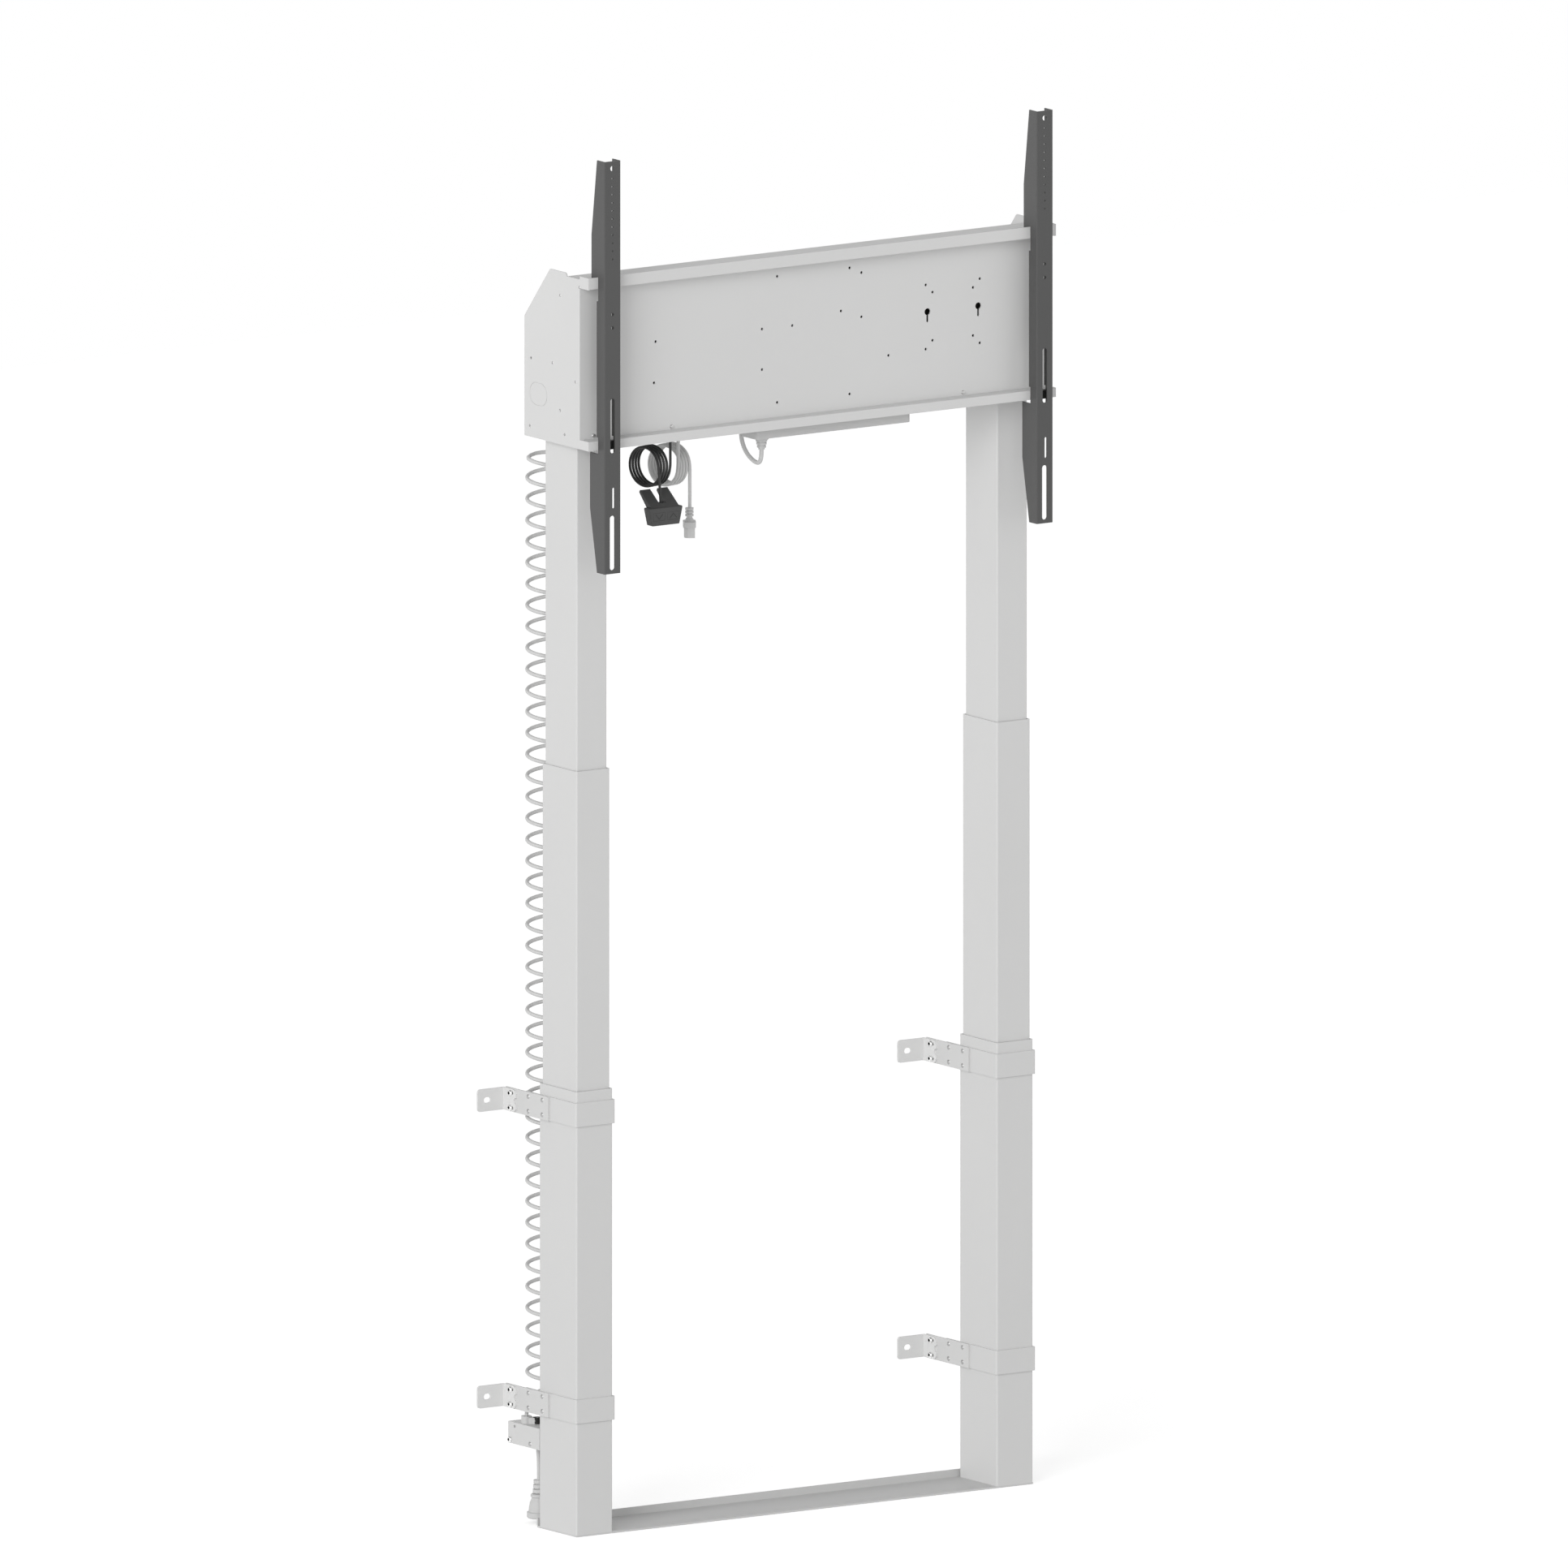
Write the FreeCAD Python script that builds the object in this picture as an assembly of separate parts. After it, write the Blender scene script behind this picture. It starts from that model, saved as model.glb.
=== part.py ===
import FreeCAD, Part
import math
import os

# Two-column motorized display lift, drawn at the top of its travel.
# X runs to the right, Y back to the wall, Z up. The origin is on the floor, midway between the columns.
# All sizes are in millimetres.

# Telescopic columns: three nested tubes, each running on glide pads
column_spacing = 778.0
outer_width = 67.0
outer_depth = 102.0
outer_length = 690.5
mid_length = 688.5
inner_length = 714.0
tube_wall = 1.5
tube_corner = 2.5
side_gap = 1.25
face_gap = 2.25
stage_overlap = 190.0
stage_travel = 450.0
glide_height = 60.0
glide_clear = 0.3
glide_inset = 12.0

# Drive train on the axis of each column
screw_r = 7.0
screw_clear = 0.2
screw_foot_r = 20.0
screw_foot_height = 15.0
screw_engagement = 33.0
cap_height = 22.0
cap_clear = 0.1
cap_roof = 2.0
bearing_r = 23.4
bearing_height = 12.0
bearing_clear = 0.1
journal_r = 12.5
journal_drop = 4.5
flange_r = 16.0
flange_height = 6.0
spline_r = 9.5
spline_bore_r = 7.5
push_wall = 2.5
push_clear = 0.5
upper_nut_r = 23.0
upper_nut_height = 30.0
upper_nut_below_inner = 7.0
spindle_r = 13.5
spindle_clear = 0.15
spindle_bore_r = 9.9
spindle_below_nut = 10.0
spline_engagement = 55.0
spline_end_room = 20.0
top_journal_r = 10.0
top_journal_reach = 15.0
running_gap = 0.3
top_bearing_height = 14.0

# Base plate
base_thickness = 3.0
base_behind = 7.0
base_lip_height = 11.5
base_bend = 5.0

# Wall clamps
wall_distance = 140.0
strap_thickness = 3.0
strap_height = 37.0
strap_leg_end = 85.0
clamp_low_z = 196.0
clamp_below_top = 35.5
arm_plate_thickness = 3.0
arm_plate_start = 18.0
arm_plate_end = 135.0
tab_thickness = 3.0
tab_height = 35.0
tab_reach = 50.0
tab_leg = 37.0
tab_corner = 5.0
tab_hole_width = 9.0
tab_hole_length = 12.6
tab_hole_reach = 32.2
rivet_rows = (35.0, 73.0)
rivet_pitch = 23.0
rivet_shank_r = 2.4
rivet_head_r = 3.8
rivet_head_height = 1.6
screw_row = 116.0
clamp_screw_r = 2.5
clamp_screw_head_r = 4.8
clamp_screw_head_height = 4.0
clamp_socket_r = 2.6
clamp_socket_depth = 3.0
clamp_nut_r = 4.6
clamp_nut_height = 3.0
clamp_slot_length = 13.0
tab_lobe_r = 8.0
tab_scallop_r = 5.0
shank_clear = 0.15

# Spiral mains cord, its bracket, grip, lead and plug
spiral_r = 30.0
spiral_gap = 5.5
spiral_bottom_z = 166.0
gland_height = 10.0
bracket_thickness = 2.0
bracket_top_z = 154.5
bracket_height = 33.5
bracket_width = 38.0
bracket_wall_gap = 3.5
grip_r = 8.0
grip_inset = 12.0
grip_y = 104.0
grip_bar_width = 13.0
grip_bar_height = 9.5
mains_cord_r = 3.0
lead_r = 3.0
lead_inset = 24.0
lead_y = 91.5
plug_inset = 25.5
plug_y = 90.0
plug_collar_r = 18.5
plug_body_r = 15.6
plug_ring_r = 12.9
plug_waist_r = 10.7
plug_floor_gap = 8.0
plug_top_z = 67.0

# Head: panel with two rails, cheeks and tray
sheet = 2.0
head_overhang = 43.6
head_height = 269.5
head_below_tube_top = 16.0
panel_front_y = -75.0
rail_depth = 24.0
lower_flange_z = 12.5
upper_flange_z = 251.0
rear_flange_z = 262.5
rear_flange_depth = 34.0
head_rear_y = 77.0
cheek_shoulder_z = 187.0
cheek_top_rear_y = 7.0
cheek_top_front_y = -37.0
cheek_flange = 20.0
cheek_return = 15.0
tray_leg_height = 35.0
tray_lip_height = 12.0
fit_clear = 0.3

# Motor bracket and gear motor
bracket_plate = 4.0
bracket_inboard = 44.0
bracket_half_depth = 70.0
bracket_upstand = 80.0
boss_wall = 2.7
gearbox_height = 48.0
gearbox_outboard = 34.0
gearbox_inboard = 92.0
gearbox_depth = 76.0
motor_r = 26.0
motor_height = 110.0
motor_offset = 60.0

# Power strip, its plug and lead
strip_x = 45.0
strip_length = 286.0
strip_y = -42.0
strip_width = 44.0
strip_height = 45.0
strip_drop = 20.0
strip_flange = 5.0
socket_count = 5
socket_pitch = 54.0
socket_r = 19.75
socket_depth = 17.0
strip_plug_r = 18.6
strip_neck_r = 9.0
strip_cord_r = 3.4
strip_neck_length = 20.0

# Control box on the back of the panel
control_x = 10.0
control_length = 240.0
control_depth = 37.0
control_bottom = 60.0
control_height = 90.0

# Display arms
display_arm_inset = 32.6
display_arm_width = 30.0
display_arm_sheet = 2.0
display_arm_front = 18.0
display_arm_below_head = 191.0
display_arm_above_head = 182.1
display_arm_end_depth = 21.0
display_arm_lower_depth = 40.0
display_arm_upper_depth = 36.0
display_arm_waist_depth = 21.7
display_arm_lip_depth = 13.5
display_arm_lower_taper = 99.0
display_arm_upper_taper = 117.6
waist_above_lower_rail = 5.5
waist_below_upper_rail = 19.0
hook_under_rail = 5.5
hook_clear = 0.3
hook_tooth = 12.0

# Handset, with two buttons
handset_x = -269.0
handset_drop = 121.0
handset_front_y = -70.0
handset_top_width = 62.5
handset_bottom_width = 50.0
handset_height = 28.0
handset_depth = 17.0
fork_width = 51.0
fork_thickness = 3.5
fork_back = 32.0
fork_rise = 24.0
fork_inset = 3.0
fork_notch_width = 13.0
fork_notch_share = 0.79
button_width = 21.0
button_height = 12.0
button_depth = 6.0
button_spacing = 26.0
button_travel = 1.2
button_clear = 0.25

# Hanging cords
handset_cord_r = 2.1
display_cord_r = 2.75
hank_r = 30.5
hank_spread = 27.0
handset_hank_x = -267.0
handset_hank_y = -20.0
handset_hank_drop = 50.0
display_hank_x = -204.0
display_hank_y = 20.0
display_hank_drop = 59.5
connector_drop = 125.4
grommet_wall = 2.0
grommet_height = 4.0

# Levels and places that follow from the sizes above
V = FreeCAD.Vector
UP = V(0, 0, 1)
os.makedirs("parts", exist_ok=True)
column_x = column_spacing / 2
head_width = column_spacing + 2 * head_overhang
mid_width = outer_width - 2 * (tube_wall + side_gap)
mid_depth = outer_depth - 2 * (tube_wall + face_gap)
inner_width = mid_width - 2 * (tube_wall + side_gap)
inner_depth = mid_depth - 2 * (tube_wall + face_gap)
outer_z0 = base_thickness
outer_z1 = outer_z0 + outer_length
mid_z0 = outer_z1 - stage_overlap
mid_z1 = mid_z0 + mid_length
inner_z0 = mid_z1 - stage_overlap
inner_z1 = inner_z0 + inner_length
head_z = inner_z1 - head_below_tube_top
head_top = head_z + head_height
web_back_y = panel_front_y + sheet
rail_y = panel_front_y - rail_depth
cheek_inner_x = head_width / 2 - sheet
clamp_high_z = outer_z1 - clamp_below_top
display_arm_bottom = head_z - display_arm_below_head
display_arm_top = head_top + display_arm_above_head
handset_z = head_z - handset_drop


def box(x0, x1, y0, y1, z0, z1):
    return Part.makeBox(x1 - x0, y1 - y0, z1 - z0, V(x0, y0, z0))


def rod(r, start, direction, length):
    return Part.makeCylinder(r, length, V(*start), V(*direction))


def post(r, z0, z1, x=0.0, y=0.0):
    return rod(r, (x, y, z0), (0, 0, 1), z1 - z0)


def rounded_prism(width, depth, radius, z0, z1, x=0.0, y=0.0):
    solid = box(x - width / 2, x + width / 2, y - depth / 2, y + depth / 2, z0, z1)
    uprights = [e for e in solid.Edges if abs(e.tangentAt(e.FirstParameter).z) > 0.99]
    return solid.makeFillet(radius, uprights)


def tube(width, depth, z0, z1):
    bore_corner = max(tube_corner - tube_wall, 0.5)
    bore = rounded_prism(width - 2 * tube_wall, depth - 2 * tube_wall, bore_corner, z0, z1)
    return rounded_prism(width, depth, tube_corner, z0, z1).cut(bore)


def face_yz(points, x=0.0):
    corners = [V(x, y, z) for y, z in points]
    return Part.Face(Part.makePolygon(corners + corners[:1]))


def plate_yz(points, x0, x1):
    return face_yz(points, x0).extrude(V(x1 - x0, 0, 0))


def plate_xz(points, y0, y1):
    corners = [V(x, y0, z) for x, z in points]
    return Part.Face(Part.makePolygon(corners + corners[:1])).extrude(V(0, y1 - y0, 0))


def obround(width, length, centre, along, through):
    # Slot cutter: centre is its middle, along its long axis, through its depth
    along = V(*along)
    through = V(*through)
    middle = V(*centre)
    half = along * ((length - width) / 2)
    start = middle - through * 0.5
    across = along.cross(through).normalize() * (width / 2)
    corners = [start - half - across, start + half - across, start + half + across, start - half + across]
    slab = Part.Face(Part.makePolygon(corners + corners[:1])).extrude(through)
    ends = [Part.makeCylinder(width / 2, through.Length, start + half * s, through) for s in (-1, 1)]
    return slab.multiFuse(ends)


def turned(profile, x=0.0, y=0.0):
    # Solid of revolution about the upright axis at x, y from (radius, z) pairs
    corners = [V(x + r, y, z) for r, z in profile]
    face = Part.Face(Part.makePolygon(corners + corners[:1]))
    return face.revolve(V(x, y, 0), UP, 360)


def moved(shape, x=0.0, y=0.0, z=0.0):
    twin = shape.copy()
    twin.translate(V(x, y, z))
    return twin


def mirrored(shape):
    return shape.mirror(V(0, 0, 0), V(1, 0, 0))


def cut_all(shape, cutters):
    return shape.cut(Part.makeCompound(cutters))


def save(name, *solids):
    shape = solids[0] if len(solids) == 1 else Part.makeCompound(list(solids))
    shape.exportStep("parts/" + name + ".step")


def save_pair(name, solid):
    # The same piece in both columns
    save(name + "_left", moved(solid, -column_x))
    save(name + "_right", moved(solid, column_x))


def cord(name, radius, points, limp=False):
    # Round tube along straight runs joined by tangent arcs as large as the runs allow
    stops = [V(*p) for p in points]
    edges = []
    radii = []
    start = stops[0]
    for before, corner, after in zip(stops, stops[1:], stops[2:]):
        into = (corner - before).normalize()
        out = (after - corner).normalize()
        turn = into.getAngle(out)
        reach = 0.45 * min((corner - before).Length, (after - corner).Length)
        bend = reach / math.tan(turn / 2)
        first = corner - into * reach
        last = corner + out * reach
        inward = (out - into).normalize()
        middle = corner + inward * (bend / math.cos(turn / 2) - bend)
        edges.append(Part.LineSegment(start, first).toShape())
        edges.append(Part.Arc(first, middle, last).toShape())
        radii.append(bend)
        start = last
    edges.append(Part.LineSegment(start, stops[-1]).toShape())
    path = Part.Wire(edges)
    section = Part.Wire(Part.makeCircle(radius, stops[0], stops[1] - stops[0]))
    solid = path.makePipeShell([section], True, False)
    ratio = solid.Volume / (math.pi * radius**2 * path.Length)
    print(name, "length %.1f" % path.Length, "volume ratio %.4f" % ratio)
    print(name, "radii", ["%.1f" % r for r in radii], "least allowed %.1f" % ((6 if limp else 10) * radius))
    return solid


# Column tubes
outer_tube = tube(outer_width, outer_depth, outer_z0, outer_z1)
mid_tube = tube(mid_width, mid_depth, mid_z0, mid_z1)
inner_tube = tube(inner_width, inner_depth, inner_z0, inner_z1)
save_pair("outer_tube", outer_tube)
save_pair("mid_tube", mid_tube)
save_pair("inner_tube", inner_tube)


def glides(width, depth, z0, outward):
    # Four pads on the faces of a tube of the given outline, standing out of it or into it
    side = side_gap - glide_clear
    face = face_gap - glide_clear
    x0 = width / 2 if outward else width / 2 - side
    y0 = depth / 2 if outward else depth / 2 - face
    half_x = width / 2 - glide_inset
    half_y = depth / 2 - glide_inset
    z1 = z0 + glide_height
    pads = []
    for sign in (-1, 1):
        x_ends = sorted((sign * x0, sign * (x0 + side)))
        y_ends = sorted((sign * y0, sign * (y0 + face)))
        pads.append(box(x_ends[0], x_ends[1], -half_y, half_y, z0, z1))
        pads.append(box(-half_x, half_x, y_ends[0], y_ends[1], z0, z1))
    return pads


# Glide pads: at the mouth of each carrying tube and at the foot of each sliding tube
outer_bore = (outer_width - 2 * tube_wall, outer_depth - 2 * tube_wall)
mid_bore = (mid_width - 2 * tube_wall, mid_depth - 2 * tube_wall)
outer_pads = glides(*outer_bore, outer_z1 - glide_height, False)
mid_pads = glides(*mid_bore, mid_z1 - glide_height, False) + glides(mid_width, mid_depth, mid_z0, True)
inner_pads = glides(inner_width, inner_depth, inner_z0, True)
save("outer_glides", *[moved(p, s * column_x) for s in (-1, 1) for p in outer_pads])
save("mid_glides_left", *[moved(p, -column_x) for p in mid_pads])
save("mid_glides_right", *[moved(p, column_x) for p in mid_pads])
save("inner_glides", *[moved(p, s * column_x) for s in (-1, 1) for p in inner_pads])

# Drive train, from the floor up
cap_z1 = mid_z0 + cap_height
roof_z = cap_z1 - cap_roof
journal_z0 = roof_z - bearing_height - journal_drop
flange_z0 = roof_z + running_gap
flange_z1 = flange_z0 + flange_height
screw_top = journal_z0 + screw_engagement
upper_nut_z0 = inner_z0 - upper_nut_below_inner
upper_nut_z1 = upper_nut_z0 + upper_nut_height
spindle_z0 = upper_nut_z0 - spindle_below_nut
spline_top = spindle_z0 + spline_engagement
spindle_bore_top = spline_top + stage_travel + spline_end_room
top_bearing_z0 = inner_z1 - top_bearing_height
spindle_shoulder = top_bearing_z0 - running_gap
spindle_top = inner_z1 + bracket_plate + top_journal_reach
push_r_in = flange_r + push_clear
push_r_out = push_r_in + push_wall
pocket_r = bearing_r + bearing_clear

foot_top = outer_z0 + screw_foot_height
lower_screw = turned([
    (0, outer_z0),
    (screw_foot_r, outer_z0),
    (screw_foot_r, outer_z0 + screw_foot_height / 3),
    (screw_r * 1.5, outer_z0 + screw_foot_height / 3),
    (screw_r * 1.5, foot_top),
    (screw_r, foot_top),
    (screw_r, screw_top),
    (0, screw_top),
])
save("lower_screws", moved(lower_screw, -column_x), moved(lower_screw, column_x))

mid_cap = rounded_prism(mid_bore[0] - 2 * cap_clear, mid_bore[1] - 2 * cap_clear, tube_corner, mid_z0, cap_z1)
mid_cap = mid_cap.cut(post(pocket_r, mid_z0, roof_z))
mid_cap = mid_cap.cut(post(flange_r + running_gap, mid_z0, cap_z1))
save_pair("mid_cap", mid_cap)

lower_bearing = post(bearing_r, roof_z - bearing_height, roof_z)
lower_bearing = lower_bearing.cut(post(journal_r + bearing_clear, roof_z - bearing_height, roof_z))
save_pair("lower_bearing", lower_bearing)

drive_tube = turned([
    (screw_r + screw_clear, journal_z0),
    (journal_r, journal_z0),
    (journal_r, flange_z0),
    (flange_r, flange_z0),
    (flange_r, flange_z1),
    (spline_r, flange_z1),
    (spline_r, spline_top),
    (spline_bore_r, spline_top),
    (spline_bore_r, flange_z1),
    (screw_r + screw_clear, flange_z1),
])
save_pair("drive_tube", drive_tube)

push_tube = post(push_r_out, cap_z1, upper_nut_z0).cut(post(push_r_in, cap_z1, upper_nut_z0))
save_pair("push_tube", push_tube)

upper_nut = post(upper_nut_r, upper_nut_z0, upper_nut_z1)
upper_nut = upper_nut.cut(post(spindle_r + spindle_clear, upper_nut_z0, upper_nut_z1))
save_pair("upper_nut", upper_nut)

spindle = turned([
    (spindle_bore_r, spindle_z0),
    (spindle_r, spindle_z0),
    (spindle_r, spindle_shoulder),
    (top_journal_r, spindle_shoulder),
    (top_journal_r, spindle_top),
    (0, spindle_top),
    (0, spindle_bore_top),
    (spindle_bore_r, spindle_bore_top),
])
save_pair("spindle", spindle)

top_bearing = post(bearing_r, top_bearing_z0, inner_z1)
top_bearing = top_bearing.cut(post(top_journal_r + bearing_clear, top_bearing_z0, inner_z1))
save("top_bearings", moved(top_bearing, -column_x), moved(top_bearing, column_x))

# Base plate: one folded sheet with a lip along its rear edge
base_x = column_x + outer_width / 2
base_front = -outer_depth / 2
base_rear = outer_depth / 2 + base_behind
base_plate = box(-base_x, base_x, base_front, base_rear, 0, base_thickness)
lip_y0 = base_rear - base_thickness
base_plate = base_plate.fuse(box(-base_x, base_x, lip_y0, base_rear, 0, base_thickness + base_lip_height))
base_plate = base_plate.removeSplitter()
fold = [e for e in base_plate.Edges if e.Length > base_x and e.CenterOfMass.y > base_rear - 0.01
        and e.CenterOfMass.z < 0.01]
base_plate = base_plate.makeFillet(base_bend, fold)
save("base_plate", base_plate)

# Wall clamps: band round the tube, an arm plate on each side, a wall tab on each arm
strap_x = outer_width / 2 + strap_thickness
arm_x = strap_x + arm_plate_thickness
tab_x = arm_x + tab_thickness
tab_y0 = wall_distance - tab_leg
tab_hole_x = arm_x + tab_hole_reach


def strap(z):
    z0 = z - strap_height / 2
    z1 = z + strap_height / 2
    front = -outer_depth / 2
    band = box(-strap_x, strap_x, front - strap_thickness, strap_leg_end, z0, z1)
    band = band.cut(box(-outer_width / 2, outer_width / 2, front, strap_leg_end, z0, z1))
    corners = [e for e in band.Edges if e.CenterOfMass.y < front - strap_thickness + 0.01
               and abs(e.tangentAt(e.FirstParameter).z) > 0.99]
    return band.makeFillet(strap_thickness, corners)


def rivet_spots(z):
    return [(y, z + s * rivet_pitch / 2) for y in rivet_rows for s in (-1, 1)]


def screw_spots(z):
    return [(screw_row, z + s * rivet_pitch / 2) for s in (-1, 1)]


def wall_arm(z):
    # Right-hand arm plate of a clamp, with holes for its rivets and screws
    z0 = z - strap_height / 2
    plate = box(strap_x, arm_x, arm_plate_start, arm_plate_end, z0, z0 + strap_height)
    reach = arm_plate_thickness
    holes = [rod(rivet_shank_r + shank_clear, (strap_x, y, h), (1, 0, 0), reach) for y, h in rivet_spots(z)]
    holes += [rod(clamp_screw_r + shank_clear, (strap_x, y, h), (1, 0, 0), reach) for y, h in screw_spots(z)]
    return cut_all(plate, holes)


def wall_tab(z):
    # Right-hand wall tab: folded sheet, slotted for depth along Y and for the wall screw along X
    z0 = z - tab_height / 2
    z1 = z + tab_height / 2
    leg = box(arm_x, tab_x, tab_y0, wall_distance, z0, z1)
    leg_end = [e for e in leg.Edges if e.CenterOfMass.y < tab_y0 + 0.01
               and abs(e.tangentAt(e.FirstParameter).x) > 0.99]
    leg = leg.makeFillet(tab_lobe_r, leg_end)
    leg = leg.cut(rod(tab_scallop_r, (arm_x, tab_y0, z), (1, 0, 0), tab_thickness))
    tab = box(arm_x, arm_x + tab_reach, wall_distance - tab_thickness, wall_distance, z0, z1)
    piece = leg.fuse(tab).removeSplitter()
    free_end = [e for e in piece.Edges if e.CenterOfMass.x > arm_x + tab_reach - 0.01
                and abs(e.tangentAt(e.FirstParameter).y) > 0.99]
    piece = piece.makeFillet(tab_corner, free_end)
    cutters = [obround(tab_hole_width, tab_hole_length, (tab_hole_x, wall_distance - tab_thickness / 2, z),
                       (1, 0, 0), (0, 2 * tab_thickness, 0))]
    slot_width = 2 * (clamp_screw_r + shank_clear)
    for y, h in screw_spots(z):
        cutters.append(obround(slot_width, clamp_slot_length, (arm_x + tab_thickness / 2, y, h),
                               (0, 1, 0), (2 * tab_thickness, 0, 0)))
    return cut_all(piece, cutters)


def clamp_fasteners(z):
    # Rivets through strap and arm, socket screws with nuts through arm and tab
    pieces = []
    for y, h in rivet_spots(z):
        shank = rod(rivet_shank_r, (outer_width / 2, y, h), (1, 0, 0), arm_x - outer_width / 2)
        dome_r = (rivet_head_r ** 2 + rivet_head_height ** 2) / (2 * rivet_head_height)
        dome = Part.makeSphere(dome_r, V(arm_x + rivet_head_height - dome_r, y, h))
        head = dome.common(rod(rivet_head_r, (arm_x, y, h), (1, 0, 0), rivet_head_height))
        pieces.append(shank.fuse(head))
    for y, h in screw_spots(z):
        shank = rod(clamp_screw_r, (strap_x - clamp_nut_height, y, h), (1, 0, 0),
                    tab_x - strap_x + clamp_nut_height)
        head = rod(clamp_screw_head_r, (tab_x, y, h), (1, 0, 0), clamp_screw_head_height)
        nut = rod(clamp_nut_r, (strap_x - clamp_nut_height, y, h), (1, 0, 0), clamp_nut_height)
        socket = rod(clamp_socket_r, (tab_x + clamp_screw_head_height - clamp_socket_depth, y, h), (1, 0, 0),
                     clamp_socket_depth)
        pieces.append(shank.multiFuse([head, nut]).cut(socket))
    return pieces


straps = []
arms = []
tabs = []
fasteners = []
for clamp_z in (clamp_low_z, clamp_high_z):
    band = strap(clamp_z)
    shank_holes = [rod(rivet_shank_r + shank_clear, (-strap_x, y, h), (1, 0, 0), 2 * strap_x)
                   for y, h in rivet_spots(clamp_z)]
    band = cut_all(band, shank_holes)
    right_side = [wall_arm(clamp_z), wall_tab(clamp_z)]
    right_fasteners = clamp_fasteners(clamp_z)
    for x in (-column_x, column_x):
        straps.append(moved(band, x))
        for turn in (lambda s: s, mirrored):
            arms.append(moved(turn(right_side[0]), x))
            tabs.append(moved(turn(right_side[1]), x))
            fasteners += [moved(turn(f), x) for f in right_fasteners]
save("clamp_straps", *straps)
save("wall_arms", *arms)
save("wall_tabs", *tabs)

# Cord bracket behind the left column: side plate with top, front and rear flanges
bracket_x0 = -column_x - outer_width / 2
bracket_y0 = outer_depth / 2
bracket_y1 = wall_distance - bracket_wall_gap
bracket_z0 = bracket_top_z - bracket_height
bracket_x1 = bracket_x0 + bracket_width
grip_x = bracket_x0 + grip_inset
lead_x = bracket_x0 + lead_inset
plug_x = bracket_x0 + plug_inset
cord_bracket = box(bracket_x0, bracket_x1, bracket_y0, bracket_y1, bracket_z0, bracket_top_z)
cord_bracket = cord_bracket.cut(box(
    bracket_x0 + bracket_thickness, bracket_x1,
    bracket_y0 + bracket_thickness, bracket_y1 - bracket_thickness,
    bracket_z0, bracket_top_z - bracket_thickness))
bracket_screw_z = bracket_z0 + clamp_screw_head_r + 1.0
bracket_screw_spots = (bracket_y0 + 26.0, bracket_y1 - 6.5)
bracket_cuts = [rod(clamp_screw_r + shank_clear, (bracket_x0, y, bracket_screw_z), (1, 0, 0), bracket_thickness)
                for y in bracket_screw_spots]
bracket_cuts.append(rod(clamp_screw_r, (bracket_x0, bracket_y1 - 17.5, bracket_top_z - 6.0), (1, 0, 0),
                        bracket_thickness))
grip_neck_r = mains_cord_r + grommet_wall
bracket_cuts.append(post(grip_neck_r + shank_clear, bracket_z0, bracket_top_z, lead_x, lead_y))
save("cord_bracket", cut_all(cord_bracket, bracket_cuts))
for y in bracket_screw_spots:
    shank = rod(clamp_screw_r, (bracket_x0, y, bracket_screw_z), (1, 0, 0), bracket_thickness)
    head = rod(clamp_screw_head_r, (bracket_x0, y, bracket_screw_z), (-1, 0, 0), clamp_screw_head_height)
    socket = rod(clamp_socket_r, (bracket_x0 - clamp_screw_head_height, y, bracket_screw_z), (1, 0, 0),
                 clamp_socket_depth)
    fasteners.append(shank.fuse(head).cut(socket))
save("bracket_screws", *fasteners)

# Cord grip: collar on the bracket, and a bar from it to a neck through the bracket
grip_neck_z = bracket_top_z - bracket_thickness - 6.5
cord_grip = post(grip_r, bracket_top_z, spiral_bottom_z, grip_x, grip_y)
grip_run = V(lead_x - grip_x, lead_y - grip_y, 0)
grip_bar = obround(grip_bar_width, grip_run.Length + grip_bar_width,
                   ((grip_x + lead_x) / 2, (grip_y + lead_y) / 2, bracket_top_z + grip_bar_height / 2),
                   tuple(grip_run.normalize()), (0, 0, grip_bar_height))
cord_grip = cord_grip.multiFuse([grip_bar, post(grip_neck_r, grip_neck_z, bracket_top_z, lead_x, lead_y)])
save("cord_grip", cord_grip.removeSplitter())

# Spiral cord: outer envelope of the helix, between the grip and the gland under the tray
spiral_y = outer_depth / 2 + spiral_gap + spiral_r
spiral_top_z = head_z - gland_height
save("spiral_cord", post(spiral_r, spiral_bottom_z, spiral_top_z, -column_x, spiral_y))

# Mains lead: from the grip down to the plug that hangs behind the left column
lead_drop = grip_neck_z - plug_top_z
save("mains_lead", cord("mains_lead", lead_r, [
    (lead_x, lead_y, grip_neck_z),
    (lead_x, lead_y, grip_neck_z - 0.30 * lead_drop),
    (plug_x, plug_y, plug_top_z + 0.38 * lead_drop),
    (plug_x, plug_y, plug_top_z),
]))


def ribbed(r_rib, r_gap, z_top, count, rib, gap):
    # Profile points of a strain relief, from its top rib down
    points = []
    z = z_top
    for _ in range(count):
        points += [(r_rib, z), (r_rib, z - rib), (r_gap, z - rib), (r_gap, z - rib - gap)]
        z -= rib + gap
    return points


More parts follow.
